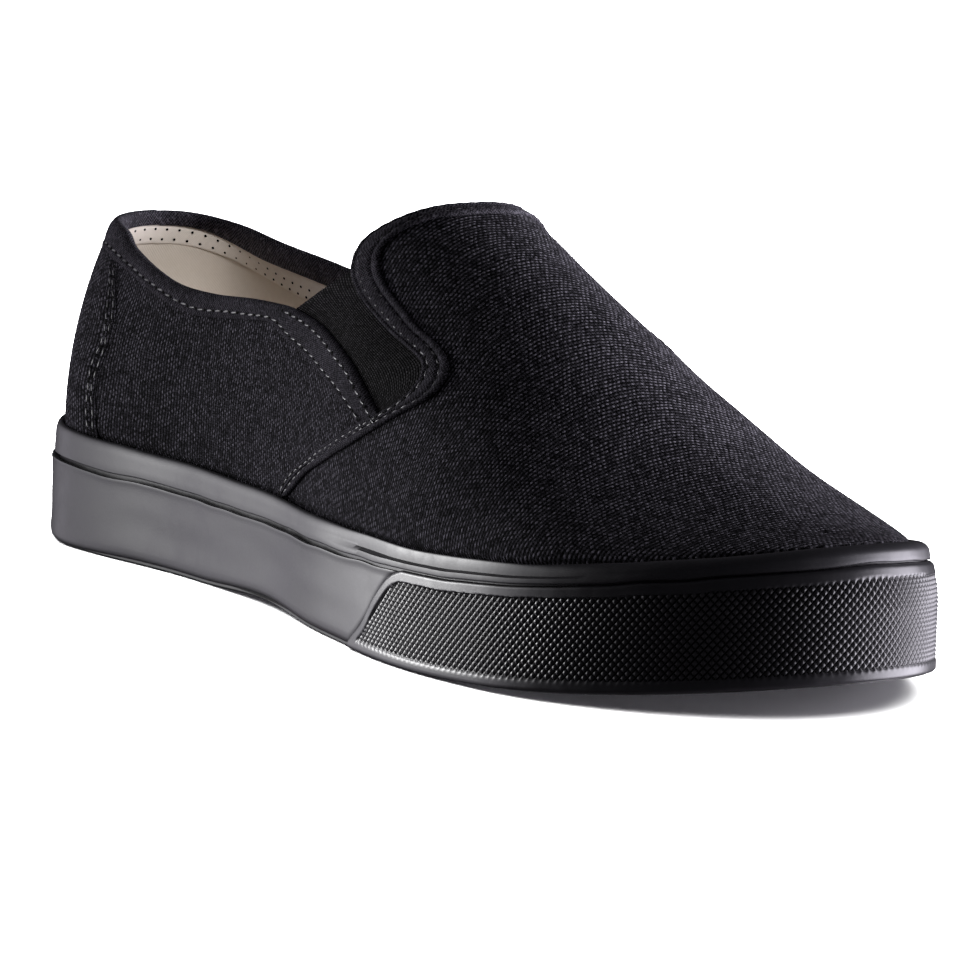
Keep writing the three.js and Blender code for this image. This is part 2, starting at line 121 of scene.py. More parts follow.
# Side profiles: x as a share of the sole length from its middle, z as a share of the instep height
TOPLINE = table(
    "x z",
    (-0.56, 0.803), (-0.48, 0.803), (-0.467, 0.803), (-0.45, 0.8), (-0.401, 0.783), (-0.372, 0.75),
    (-0.31, 0.712), (-0.27, 0.694), (-0.22, 0.692), (-0.16, 0.704), (-0.097, 0.71),
)
INNER_TOPLINE = table(
    "x z",
    (-0.56, 0.803), (-0.48, 0.803), (-0.467, 0.803), (-0.44, 0.783), (-0.41, 0.767), (-0.38, 0.752),
    (-0.31, 0.721), (-0.27, 0.705), (-0.22, 0.703), (-0.16, 0.711), (-0.097, 0.713),
)
GORE_REAR = table(
    "x z",
    (-0.094, 0.708), (-0.047, 0.691), (-0.011, 0.663), (0.024, 0.626), (0.05, 0.585), (0.074, 0.546),
)
GORE_FRONT = table(
    "x z",
    (0.098, 0.557), (0.11, 0.587), (0.116, 0.621), (0.113, 0.648), (0.105, 0.667), (0.085, 0.688),
    (0.061, 0.711), (0.034, 0.743), (0.011, 0.772), (-0.009, 0.806), (-0.018, 0.831),
)
THROAT = table(
    "x z",
    (-0.021, 0.858), (-0.018, 0.892), (-0.009, 0.92), (0.003, 0.95), (0.011, 0.97), (0.019, 0.99),
)
STRAP_FRONT = table(
    "x z",
    (0.04, 1.1), (0.037, 0.975), (0.027, 0.955), (0.016, 0.922), (0.011, 0.89), (0.014, 0.861),
    (0.025, 0.828), (0.042, 0.797), (0.065, 0.763), (0.088, 0.73), (0.111, 0.706), (0.127, 0.684),
    (0.138, 0.66), (0.143, 0.631), (0.141, 0.603), (0.133, 0.58), (0.117, 0.552), (0.095, 0.515),
    (0.055, 0.453), (0.003, 0.383), (-0.026, 0.345), (-0.062, 0.275),
)
STRAP_REAR = table(
    "x z",
    (-0.082, 0.275), (-0.064, 0.327), (-0.009, 0.411), (0.049, 0.491), (0.077, 0.526),
)
FACING_EDGE = table(
    "x z",
    (-0.56, 0.725), (-0.45, 0.723), (-0.415, 0.72), (-0.371, 0.697), (-0.316, 0.665),
    (-0.267, 0.639), (-0.237, 0.632), (-0.191, 0.643), (-0.159, 0.652), (-0.124, 0.66),
    (-0.094, 0.634), (-0.058, 0.61), (-0.022, 0.582), (0.02, 0.544), (0.045, 0.517),
)
COUNTER_EDGE = table(
    "x z",
    (-0.354, 0.24), (-0.362, 0.33), (-0.366, 0.4), (-0.364, 0.46), (-0.357, 0.511), (-0.357, 0.571),
    (-0.374, 0.66), (-0.402, 0.76),
)
FACING_TUCK = table("x z", (0.083, 0.531), (0.094, 0.512))
FACING_EDGE_TUCK = table("x z", (0.054, 0.503), (0.064, 0.489))
ELASTIC_REAR_TUCK = table("x z", (0.088, 0.522))
ELASTIC_FRONT_TUCK = table("x z", (0.1, 0.526))
BUMPER_REAR = table(
    "x z",
    (0.092, -0.02), (0.098, 0.02), (0.119, 0.074), (0.137, 0.143), (0.162, 0.206), (0.2, 0.24),
)

OUTER = -1
INNER = 1


# Curves and the outline
def clamp01(value):
    return min(max(value, 0.0), 1.0)


def ease(value):
    share = clamp01(value)
    return share * share * (3 - 2 * share)


def along(rows, column, at):
    """A smooth curve through one column of a table."""
    last = len(rows) - 1
    place = min(max(at, rows[0]["at"]), rows[last]["at"])
    k = 0
    while k < last - 1 and place > rows[k + 1]["at"]:
        k += 1

    def rise(i):
        return (rows[i + 1][column] - rows[i][column]) / (rows[i + 1]["at"] - rows[i]["at"])

    def slope(i):
        if i == 0:
            return rise(0)
        if i == last:
            return rise(last - 1)
        before = rows[i]["at"] - rows[i - 1]["at"]
        after = rows[i + 1]["at"] - rows[i]["at"]
        return (rise(i - 1) * after + rise(i) * before) / (before + after)

    span = rows[k + 1]["at"] - rows[k]["at"]
    t = (place - rows[k]["at"]) / span
    low = rows[k][column] * (1 + 2 * t) * (1 - t) ** 2 + slope(k) * span * t * (1 - t) ** 2
    return low + rows[k + 1][column] * t * t * (3 - 2 * t) + slope(k + 1) * span * t * t * (t - 1)


def smooth_between(a, b, c, d, t):
    """A place between b and c on a smooth curve through four knots."""
    before = (c - a) * 0.5
    after = (d - b) * 0.5
    return (
        (2 * b - 2 * c + before + after) * t ** 3
        + (-3 * b + 3 * c - 2 * before - after) * t ** 2 + before * t + b
    )


def length_share(turn):
    return (1 - math.cos(math.pi * turn)) / 2


def round_the_toe(turns):
    """Stations from the heel's middle along the outer side, round the toe and back."""
    there = [(OUTER, i / turns) for i in range(turns + 1)]
    return there + [(INNER, i / turns) for i in range(turns - 1, -1, -1)]


def round_the_heel(turns):
    """Stations from the outer side's front round the heel to the inner side's front."""
    there = [(OUTER, i / turns) for i in range(turns, -1, -1)]
    return there + [(INNER, i / turns) for i in range(1, turns + 1)]


def round_cap(depth, roundness):
    return clamp01(1 - clamp01(depth) ** roundness) ** (1 / roundness)


@lru_cache(maxsize=None)
def outline(side, turn):
    """The sole's outline: turn runs from the heel's middle to the toe's tip on either side."""
    share = length_share(turn)
    heel_cap = HEEL_CAP_LENGTH / SOLE_LENGTH
    toe_cap = TOE_CAP_LENGTH / SOLE_LENGTH
    heel_end = round_cap((heel_cap - share) / heel_cap, HEEL_ROUNDNESS)
    toe_end = round_cap((share - 1 + toe_cap) / toe_cap, TOE_ROUNDNESS)
    column = "outer" if side < 0 else "inner"
    half_width = along(OUTLINE, column, share) * BALL_WIDTH * heel_end * toe_end
    middle = TOE_SHIFT * clamp01((share - 0.5) / 0.5) ** 2
    return Vector((SOLE_LENGTH * (share - 0.5), middle + side * half_width))


@lru_cache(maxsize=None)
def inward(side, turn):
    """The direction from the outline into the shoe."""
    if turn <= 0:
        return Vector((1, 0))
    if turn >= 1:
        return Vector((-1, 0))
    step = 0.001
    run = outline(side, min(turn + step, 1)) - outline(side, max(turn - step, 0))
    run.normalize()
    return Vector((side * run.y, -side * run.x))


def set_in(side, turn, inset):
    return outline(side, turn) + inward(side, turn) * inset


def ground(share):
    return TOE_SPRING * clamp01((share - SPRING_SHARE) / (1 - SPRING_SHARE)) ** 2


def wall_top(share):
    return ground(share) + SIDEWALL_HEIGHT * along(WALL, "sidewall", share)


def band_top(share):
    return wall_top(share) + BAND_HEIGHT * along(WALL, "band", share)


def underside(share):
    t = clamp01((share - 0.3) / 0.22)
    return ground(share) + ARCH_RISE * math.sin(math.pi * t) ** 2


def ledge(share):
    """How much further in the upper starts towards the toe's tip."""
    return TOE_LEDGE * ease((share - TOE_LEDGE_FROM) / (1 - TOE_LEDGE_FROM))


def rubber_inside(share):
    return SIDEWALL_SETBACK + SIDEWALL_THICKNESS + ledge(share)


def upper_inset(share, layer=0.0):
    return rubber_inside(share) + FIT_GAP - layer


# The last: ribs rise from the band's top edge to the ridge
@lru_cache(maxsize=None)
def rib(side, turn):
    share = length_share(turn)
    back = HEEL_FAN["reach"] * clamp01(1 - share / HEEL_FAN["until"]) ** 2
    front = TOE_FAN["reach"] * clamp01((share - TOE_FAN["from"]) / (1 - TOE_FAN["from"])) ** 2
    middle = (outline(OUTER, turn).y + outline(INNER, turn).y) / 2
    ridge = Vector((
        SOLE_LENGTH * (share + back - front - 0.5),
        middle + BALL_WIDTH * along(LAST, "lean", share),
        INSTEP_HEIGHT * along(LAST, "ridge", share),
    ))
    foot = set_in(side, turn, upper_inset(share))
    return foot, inward(side, turn), ridge, band_top(share), share


# How far the wall runs down behind the band and the sidewall
SKIRT = 22


def rib_point(side, turn, rise, layer=0.0):
    """A point of the last with a layer on it. Below rise 0 the wall goes straight down."""
    foot, way, ridge, base, share = rib(side, turn)
    start = foot - way * layer
    if rise <= 0:
        return Vector((start.x, start.y, base + rise * SKIRT))
    angle = min(rise, 1) * math.pi / 2
    across = 1 - max(math.cos(angle), 0) ** along(LAST, "inward", share)
    up = math.sin(angle) ** along(LAST, "upward", share)
    return Vector((
        start.x + (ridge.x - start.x) * across,
        start.y + (ridge.y - start.y) * across,
        base + (ridge.z + layer - base) * up,
    ))


class Skin:
    """The last's surface as a form that points can be laid on."""

    def __init__(self, turns, rises):
        stations = round_the_toe(turns)
        levels = [-0.4, -0.2] + [j / rises for j in range(rises + 1)]
        count = len(levels)
        points = [rib_point(side, turn, rise) for side, turn in stations for rise in levels]
        faces = []
        for i in range(len(stations) - 1):
            for j in range(count - 1):
                low = i * count + j
                faces.append((low, low + count, low + count + 1, low + 1))
        self.form = BVHTree.FromPolygons(points, faces)

    def nearest(self, point):
        place, normal, _, _ = self.form.find_nearest(point)
        return place, normal

    def side_hit(self, side, x, z):
        place, _, _, _ = self.form.ray_cast(Vector((x, side * 2 * BALL_WIDTH, z)), Vector((0, -side, 0)))
        return place


skin = Skin(180, 80)


# Lines on the last
def spaced(points, step):
    """The same line with even steps."""
    lengths = [0.0]
    for before, after in zip(points, points[1:]):
        lengths.append(lengths[-1] + (after - before).length)
    count = max(round(lengths[-1] / step), 1)
    result = []
    k = 0
    for i in range(count + 1):
        goal = lengths[-1] * i / count
        while k < len(points) - 2 and lengths[k + 1] < goal:
            k += 1
        span = lengths[k + 1] - lengths[k]
        result.append(points[k].lerp(points[k + 1], (goal - lengths[k]) / span if span else 0))
    return result


def length_of(points):
    return sum((after - before).length for before, after in zip(points, points[1:]))


def side_line(rows, step=1.0):
    """A side profile in millimetres, smoothed through its rows."""
    knots = [Vector((row["x"] * SOLE_LENGTH, row["z"] * INSTEP_HEIGHT)) for row in rows]
    knots = [knots[0]] + knots + [knots[-1]]
    dense = []
    for a, b, c, d in zip(knots, knots[1:], knots[2:], knots[3:]):
        dense += [smooth_between(a, b, c, d, i / 12) for i in range(12)]
    dense.append(knots[-1])
    return spaced(dense, step)


def reading(points, given, wanted):
    """One coordinate of a side profile as a function of the other."""
    rows = sorted((point[given], point[wanted]) for point in points)

    def value(at):
        if at <= rows[0][0]:
            return rows[0][1]
        for before, after in zip(rows, rows[1:]):
            if at <= after[0]:
                span = after[0] - before[0]
                return before[1] + (after[1] - before[1]) * (at - before[0]) / (span or 1)
        return rows[-1][1]

    return value


def halve(low, high, test):
    """The place between low and high where the test turns true."""
    for _ in range(26):
        middle = (low + high) / 2
        if test(middle):
            high = middle
        else:
            low = middle
    return (low + high) / 2


def round_heel(side, height_at, until):
    """A line at a given height from the heel's middle along one side, up to x = until."""
    points = []
    for i in range(200):
        turn = i / 200
        rise = halve(0, 1, lambda r: rib_point(side, turn, r).z > height_at(rib_point(side, turn, r).x))
        point = rib_point(side, turn, rise)
        if point.x > until:
            break
        points.append(point)
    return points


def over_ridge(side, x_at, until):
    """A line across the instep from the ridge down one side, to the height until."""
    points = []
    for i in range(120):
        rise = 1 - i / 160
        turn = halve(0.2, 0.9, lambda t: rib_point(side, t, rise).x > x_at(rib_point(side, t, rise).z))
        point = rib_point(side, turn, rise)
        if point.z < until:
            break
        points.append(point)
    return points


def on_side(side, flat):
    hits = [skin.side_hit(side, point.x, point.y) for point in flat]
    return [hit for hit in hits if hit]


THROAT_SPLIT = 0.9 * INSTEP_HEIGHT


def down_strap(side, rows):
    """A strap edge from the ridge down one side, given as side profiles from the top down."""
    flat = [point for part in rows for point in part]
    top = over_ridge(side, reading([p for p in flat if p.y > 0.86 * INSTEP_HEIGHT], 1, 0), THROAT_SPLIT)
    first = next(k for k, point in enumerate(flat) if point.y < THROAT_SPLIT - 0.3)
    return spaced(top + on_side(side, flat[first:]), 0.8)


def place_on(line, x, z):
    """How far along a line its point nearest to the given side place lies, as a share."""
    goal = Vector((x * SOLE_LENGTH, z * INSTEP_HEIGHT))
    best = min(range(len(line)), key=lambda i: (Vector((line[i].x, line[i].z)) - goal).length)
    return best / (len(line) - 1)


def at_share(line, share):
    place = clamp01(share) * (len(line) - 1)
    k = min(int(place), len(line) - 2)
    return line[k].lerp(line[k + 1], place - k)


class Ribbon:
    """A strip between two lines on the last. Ties pair up places of the two lines."""

    def __init__(self, first, second, ties, step):
        rows = [{"at": 0.0, "other": 0.0}]
        for tie in ties:
            rows.append({
                "at": place_on(first, tie["x"], tie["z"]),
                "other": place_on(second, tie["other_x"], tie["other_z"]),
            })
        rows.append({"at": 1.0, "other": 1.0})
        count = round(length_of(first) / step)
        shares = [i / count for i in range(count + 1)]
        self.first = [at_share(first, share) for share in shares]
        self.second = [at_share(second, along(rows, "other", share)) for share in shares]

    def spot(self, i, share, offset, height):
        start = self.first[i]
        across = self.second[i] - start
        width = across.length
        target = start + across * ((share * width + offset) / width)
        place, normal = skin.nearest(target)
        return place + normal * height

    def rail(self, share, offset, height):
        """A line along the ribbon. The offset may be a function of the place along it."""
        offsets = [offset(place) if callable(offset) else offset for place in self.first]
        return [self.spot(i, share, offsets[i], height) for i in range(len(offsets))]


def joined(outer, inner):
    """Two ribbons from the same middle as one, from the outer side's end to the inner side's."""
    outer.first = outer.first[::-1] + inner.first[1:]
    outer.second = outer.second[::-1] + inner.second[1:]
    return outer


def smooth_rows(rows, steps):
    """More rows of a section, on a smooth curve through the given ones."""
    knots = [rows[0]] + rows + [rows[-1]]
    result = []
    for a, b, c, d in zip(knots, knots[1:], knots[2:], knots[3:]):
        for i in range(steps):
            result.append({
                name: smooth_between(a[name], b[name], c[name], d[name], i / steps) for name in a
            })
    result.append(dict(rows[-1]))
    return result


# Meshes
SHIFT_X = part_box("midsole")[0].x * 1000 - (SIDEWALL_SETBACK - SOLE_LENGTH / 2)
SHIFT_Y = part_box("outsole")[0].y * 1000 - min(
    set_in(OUTER, i / CAD_STATIONS, OUTSOLE_SETBACK).y for i in range(CAD_STATIONS + 1)
)
TO_FRAME = Matrix.Scale(0.001, 4) @ Matrix.Translation((SHIFT_X, SHIFT_Y, 0))


def finished(name, form, finish, replaces=()):
    """The mesh in metres in the CAD's frame, riding on the shoe."""
    bmesh.ops.transform(form, matrix=TO_FRAME, verts=form.verts)
    mesh = bpy.data.meshes.new(name)
    form.to_mesh(mesh)
    form.free()
    mesh.shade_smooth()
    mesh.set_sharp_from_angle(angle=math.radians(50))
    piece = bpy.data.objects.new(name, mesh)
    bpy.context.scene.collection.objects.link(piece)
    mesh.materials.append(finish)
    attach(piece, "root")
    if replaces:
        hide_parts(*replaces)
    return piece


def measured(columns):
    """Fabric coordinates in millimetres: along the middle row, and up each column."""
    middle = len(columns[0]) // 2
    run = 0.0
    result = []
    for i, column in enumerate(columns):
        if i:
            run += (column[middle] - columns[i - 1][middle]).length
        rise = 0.0
        places = [(run, 0.0)]
        for before, after in zip(column, column[1:]):
            rise += (after - before).length
            places.append((run, rise))
        result.append(places)
    return result


def laid(columns, keep=None, uvs=None, flip=False, weld=0.0, hollows=None):
    """A grid of points as a mesh with fabric coordinates, and how hollow each place is where given."""
    across = len(columns) - 1
    up = len(columns[0]) - 1
    uvs = uvs or measured(columns)
    form = bmesh.new()
    bmesh.ops.create_grid(form, x_segments=across, y_segments=up, size=0.5)
    cloth = form.loops.layers.uv.new("UVMap")
    for face in form.faces:
        for loop in face.loops:
            spot = loop.vert.co
            i, j = round((spot.x + 0.5) * across), round((spot.y + 0.5) * up)
            loop[cloth].uv = uvs[i][j]
    hollow = form.verts.layers.float.new("hollow") if hollows else None
    for vert in form.verts:
        i, j = round((vert.co.x + 0.5) * across), round((vert.co.y + 0.5) * up)
        vert.co = columns[i][j]
        if hollows:
            vert[hollow] = hollows[i][j]
    if keep:
        lost = [face for face in form.faces if not keep(face.calc_center_median())]
        bmesh.ops.delete(form, geom=lost, context="FACES")
    if weld:
        bmesh.ops.remove_doubles(form, verts=form.verts, dist=weld)
    if flip:
        bmesh.ops.reverse_faces(form, faces=form.faces)
    return form


def with_wall(piece, thickness):
    wall = piece.modifiers.new("wall", "SOLIDIFY")
    wall.thickness = thickness / 1000
    wall.offset = -1
    return piece


def inside(shape, x, z):
    """Whether a side place lies within a closed side profile."""
    found = False
    for a, b in zip(shape, shape[1:] + shape[:1]):
        if (a.y > z) != (b.y > z) and x < a.x + (b.x - a.x) * (z - a.y) / (b.y - a.y):
            found = not found
    return found


def moved(line, distance):
    """A side profile moved to its left by a distance."""
    result = []
    for i, point in enumerate(line):
        run = line[min(i + 1, len(line) - 1)] - line[max(i - 1, 0)]
        run.normalize()
        result.append(point + Vector((-run.y, run.x)) * distance)
    return result


# Finishes
OBJECT_OUTPUT = 3


class Value:
    """A number socket that can stand in sums."""

    def __init__(self, finish, socket):
        self.finish = finish
        self.socket = socket

    def maths(self, operation, *others):
        inputs = {k: value for k, value in enumerate((self,) + others)}
        return self.finish.add("ShaderNodeMath", {"operation": operation}, inputs)

    def __add__(self, other):
        return self.maths("ADD", other)

    def __sub__(self, other):
        return self.maths("SUBTRACT", other)

    def __mul__(self, other):
        return self.maths("MULTIPLY", other)

    def __truediv__(self, other):
        return self.maths("DIVIDE", other)

    def __rsub__(self, other):
        return self.maths("MULTIPLY_ADD", -1.0, other)

    __radd__ = __add__
    __rmul__ = __mul__

    def floor(self):
        return self.maths("FLOOR")

    def fract(self):
        return self.maths("FRACT")

    def abs(self):
        return self.maths("ABSOLUTE")

    def power(self, exponent):
        return self.maths("POWER", exponent)

    def least(self, other):
        return self.maths("MINIMUM", other)

    def most(self, other):
        return self.maths("MAXIMUM", other)

    def half_turn(self):
        """0 or 0.5 as the whole number under it is even or odd."""
        return (self * 0.5).fract()


class Finish:
    """A material: its shader, and the nodes that vary it."""

    def __init__(self, name, roughness=0.5, settings=()):
        self.material = bpy.data.materials.new(name)
        self.material.use_nodes = True
        self.tree = self.material.node_tree
        self.shader = self.tree.nodes["Principled BSDF"]
        self.shader.inputs["Roughness"].default_value = roughness
        for socket, value in dict(settings).items():
            self.shader.inputs[socket].default_value = value

    def add(self, kind, settings=None, inputs=None, output=0):
        node = self.tree.nodes.new(kind)
        for name, value in (settings or {}).items():
            setattr(node, name, value)
        for name, value in (inputs or {}).items():
            if isinstance(value, Value):
                self.tree.links.new(value.socket, node.inputs[name])
            else:
                node.inputs[name].default_value = value
        return Value(self, node.outputs[output])

    def feed(self, socket, value):
        self.tree.links.new(value.socket, self.shader.inputs[socket])

    def cloth_places(self):
        """The two fabric coordinates in millimetres."""
        cloth = self.add("ShaderNodeUVMap", {"uv_map": "UVMap"})
        along_cloth = self.add("ShaderNodeSeparateXYZ", None, {0: cloth})
        return along_cloth, Value(self, along_cloth.socket.node.outputs[1])

    def clouds(self, scale, detail=3.0, roughness=0.55):
        """Soft noise on the Object coordinates."""
        place = self.add("ShaderNodeTexCoord", None, None, OBJECT_OUTPUT)
        inputs = {"Vector": place, "Scale": scale, "Detail": detail, "Roughness": roughness}
        return self.add("ShaderNodeTexNoise", None, inputs)

    def mix(self, share, first, second):
        """Two colours mixed by a share."""
        settings = {"data_type": "RGBA", "blend_type": "MIX"}
        inputs = {0: share, 6: first, 7: second}
        return self.add("ShaderNodeMix", settings, inputs, 2)

    def bump(self, height, distance, strength):
        """A bump of a height in millimetres."""
        inputs = {"Strength": strength, "Distance": distance / 1000, "Height": height}
        return self.add("ShaderNodeBump", None, inputs)

    def chance(self, x, y, seed):
        """A steady random number for each whole place."""
        cell = self.add("ShaderNodeCombineXYZ", None, {0: x.floor(), 1: y.floor(), 2: seed})
        return self.add("ShaderNodeTexWhiteNoise", {"noise_dimensions": "3D"}, {"Vector": cell})

    def shade_where(self, share, level):
        """Mix in a matt dark surface by a share: painted shade."""
        painted_shade = self.tree.nodes.new("ShaderNodeBsdfPrincipled")
        painted_shade.inputs["Base Color"].default_value = grey(level)
        painted_shade.inputs["Roughness"].default_value = 1.0
        painted_shade.inputs["Specular IOR Level"].default_value = 0.0
        blend = self.tree.nodes.new("ShaderNodeMixShader")
        self.tree.links.new(share.socket, blend.inputs[0])
        self.tree.links.new(self.shader.outputs[0], blend.inputs[1])
        self.tree.links.new(painted_shade.outputs[0], blend.inputs[2])
        self.tree.links.new(blend.outputs[0], self.tree.nodes["Material Output"].inputs["Surface"])


def grey(level):
    return (level, level, level, 1)


def tint(red, green, blue):
    return (red, green, blue, 1)


MATT_CLOTH = {"Specular IOR Level": 0.03, "Sheen Weight": 0.004, "Sheen Roughness": 0.5}
WEAVE_ALONG = 2.06
WEAVE_UP = 1.18
WEAVE = table(
    "along up half_width half_length height",
    (0.0, 0.0, 0.38, 0.54, 1.0),
    (0.5, 0.5, 0.38, 0.54, 1.0),
    (0.5, 0.0, 0.7, 0.3, 0.35),
    (0.0, 0.5, 0.7, 0.3, 0.35),
)


def canvas_cloth(name, gap_shade, thread, light_specks):
    """Plain woven canvas: the raised cross threads show as short dashes in staggered rows. The dashes'
    grey is painted highlight on the black threads' crowns, the near-black between them is painted shade
    in the gaps, and the light specks on the crowns are painted glints.
    """
    finish = Finish(name, 0.92, MATT_CLOTH)
    u, v = finish.cloth_places()
    u = u + (finish.clouds(70.0, 2.0) - 0.5) * 1.6 + (finish.clouds(310.0, 1.0) - 0.5) * 0.8
    v = v + (finish.clouds(85.0, 2.0) - 0.5) * 1.2 + (finish.clouds(340.0, 1.0) - 0.5) * 0.5
    bright, lift = None, None
    for seed, row in enumerate(WEAVE):
        a = u / WEAVE_ALONG + row["along"]
        b = v / WEAVE_UP + row["up"]
        across = (a.fract() - 0.5) * (WEAVE_ALONG / row["half_width"])
        down = (b.fract() - 0.5) * (WEAVE_UP / row["half_length"])
        crown = (1 - across * across - down * down).most(0.0)
        shown = crown * (finish.chance(a, b, seed) * 1.1 + 0.3) * row["height"]
        raised = crown * row["height"]
        bright = bright.most(shown) if bright else shown
        lift = lift.most(raised) if lift else raised
    fuzz = finish.clouds(1700.0, 2.0)
    patches = finish.clouds(45.0, 3.0)
    share = bright.power(1.3) * (patches * 0.8 + 0.5) + (fuzz - 0.5) * 0.25
    # Painted highlight on the thread crowns over painted shade in the gaps between them
    colour = finish.mix(share.most(0.0).least(1.0), gap_shade, thread)
    # Painted glints: sparse light specks on the thread crowns
    spark = finish.clouds(2400.0, 1.0).power(9.0) * 14
    colour = finish.mix((spark * bright).least(1.0), colour, light_specks)
    finish.feed("Base Color", colour)
    finish.feed("Normal", finish.bump(lift + fuzz * 0.3, 0.2, 0.8))
    return finish.material


FACING_PITCH = 0.85


def plain_cloth(name, dark, light):
    """Fine facing cloth: a close plain weave with a few light fibre specks; its lighter thread crossings
    are painted highlight on a near-black cloth.
    """
    finish = Finish(name, 0.9, MATT_CLOTH)
    u, v = finish.cloth_places()
    u = u + (finish.clouds(120.0, 2.0) - 0.5) * 0.8
    v = v + (finish.clouds(110.0, 2.0) - 0.5) * 0.8
    one = (((u + v) / FACING_PITCH).fract() - 0.5).abs() * 2
    two = (((u - v) / FACING_PITCH).fract() - 0.5).abs() * 2
    weave = one * two
    patches = finish.clouds(160.0, 4.0)
    light_specks = finish.clouds(1500.0, 1.0).power(6.0) * 5
    share = weave * (patches * 2.0 + 0.2) + light_specks
    # Painted highlight: the raised thread crossings are mixed towards the lighter grey
    finish.feed("Base Color", finish.mix(share.least(1.0), dark, light))
    finish.feed("Normal", finish.bump(weave * 0.6 + patches * 1.6, 0.16, 0.8))
    return finish.material


RIB_PITCH = 0.76
BEAD_PITCH = 0.9


def ribbed(name):
    """Elastic webbing: fine ribs along it, each a row of small beads; their bright crowns are painted
    highlight, and the near-black between them is painted shade.
    """
    finish = Finish(name, 0.8, {"Specular IOR Level": 0.03})
    u, v = finish.cloth_places()
    rib_number = u / RIB_PITCH
    rib = 1 - ((rib_number.fract() - 0.5) * 2).power(2.0)
    bead_number = v / BEAD_PITCH + rib_number.floor().half_turn()
    bead = 1 - ((bead_number.fract() - 0.5) * 2).power(2.0)
    cell = finish.chance(rib_number, bead_number, 5)
    bright = rib.power(4.0) * bead.power(2.0) * (cell * 1.2 + 0.2)
    # Painted highlight on the beads' crowns, painted shade between them
    finish.feed("Base Color", finish.mix(bright.least(1.0), grey(0.0004), tint(0.13, 0.127, 0.127)))
    finish.feed("Normal", finish.bump(rib + bead * 0.35, 0.22, 0.9))
    return finish.material


MOTTLE = 0.2


def rubber(name, base, roughness, hollows=False):
    """Satin moulded rubber with faint flow marks and small pores; where asked, painted shade, matt and
    near-black, deep in its hollows.
    """
    finish = Finish(name, roughness, {"Specular IOR Level": 0.5})
    broad = finish.clouds(22.0, 5.0, 0.6)
    streaks = finish.clouds(240.0, 4.0, 0.65)
    pores = finish.clouds(1500.0, 2.0)
    share = broad * 0.6 + streaks * 0.4
    low = tuple(part * (1 - MOTTLE) for part in base) + (1,)
    high = tuple(part * (1 + MOTTLE) for part in base) + (1,)
    finish.feed("Base Color", finish.mix(share, low, high))
    finish.feed("Roughness", (broad - 0.5) * 0.3 + (streaks - 0.5) * 0.25 + roughness)
    finish.feed("Normal", finish.bump(streaks * 0.7 + pores * 0.3 + broad, 0.06, 0.6))
    if hollows:
        # Painted shade: the deepest knurl grooves turn into a matt near-black surface
        depth = finish.add("ShaderNodeAttribute", {"attribute_name": "hollow"}, None, 2)
        finish.shade_where(((depth - 0.64) * 4.5).most(0.0).least(1.0), 0.002)
    return finish.material


def lining_cloth(name, shade, light, pitch):
    """Unbleached lining cloth with a fine twill line and soft soiling."""
    finish = Finish(name, 0.92, {"Specular IOR Level": 0.2})
    u, v = finish.cloth_places()
    line = (((u + v * 0.8) / pitch).fract() - 0.5).abs() * 2
    soil = finish.clouds(26.0, 4.0)
    fibre = finish.clouds(700.0, 3.0)
    share = soil * 0.75 + fibre * 0.2 + line * 0.12
    finish.feed("Base Color", finish.mix(share.least(1.0), shade, light))
    finish.feed("Normal", finish.bump(line * 0.4 + fibre * 0.7 + soil, 0.12, 0.7))
    return finish.material


def thread_finish(name, dark, light):
    finish = Finish(name, 0.45, {"Specular IOR Level": 0.6, "Sheen Weight": 0.1, "Sheen Roughness": 0.3})
    # Painted glints: patches of stitches are painted light grey on a near-black thread
    shade = finish.clouds(290.0, 1.0).power(3.0) * 4
    twist = finish.clouds(2600.0, 1.0)
    finish.feed("Base Color", finish.mix(shade.least(1.0), dark, light))
    finish.feed("Normal", finish.bump(twist, 0.08, 0.6))
    return finish.material


def plain_dark(name, level):
    finish = Finish(name, 1.0, {"Specular IOR Level": 0.1})
    finish.feed("Base Color", finish.mix(finish.clouds(300.0), grey(level * 0.6), grey(level * 1.4)))
    return finish.material


# Black canvas: painted shade between the threads, painted highlight on their crowns, and painted glints
CANVAS = canvas_cloth("black_canvas", tint(0.001, 0.001, 0.0012), tint(0.27, 0.26, 0.295),
                      tint(0.45, 0.45, 0.48))
TRIM = plain_cloth("facing_cloth", tint(0.002, 0.002, 0.0024), tint(0.17, 0.163, 0.185))
ELASTIC = ribbed("gore_elastic")
SOLE_RUBBER = rubber("sole_rubber", (0.021, 0.0205, 0.0235), 0.42)
# The knurled bumper gets painted shade in its deep grooves
BUMPER_RUBBER = rubber("bumper_rubber", (0.02, 0.0195, 0.022), 0.33, hollows=True)
TREAD_RUBBER = rubber("tread_rubber", (0.008, 0.008, 0.009), 0.6)
LINING = lining_cloth("lining_cloth", tint(0.46, 0.39, 0.32), tint(0.8, 0.73, 0.66), 0.7)
TAPE = lining_cloth("lining_tape", tint(0.56, 0.49, 0.42), tint(0.87, 0.81, 0.75), 0.5)
INSOLE_CLOTH = lining_cloth("insole_cloth", tint(0.36, 0.30, 0.22), tint(0.62, 0.55, 0.44), 0.8)
# Near-black sewing thread with painted glints
THREAD = thread_finish("sewing_thread", grey(0.006), grey(0.4))
# Needle holes: their near-black is painted shade in the holes
PIT_SHADE = plain_dark("needle_pit_shade", 0.001)


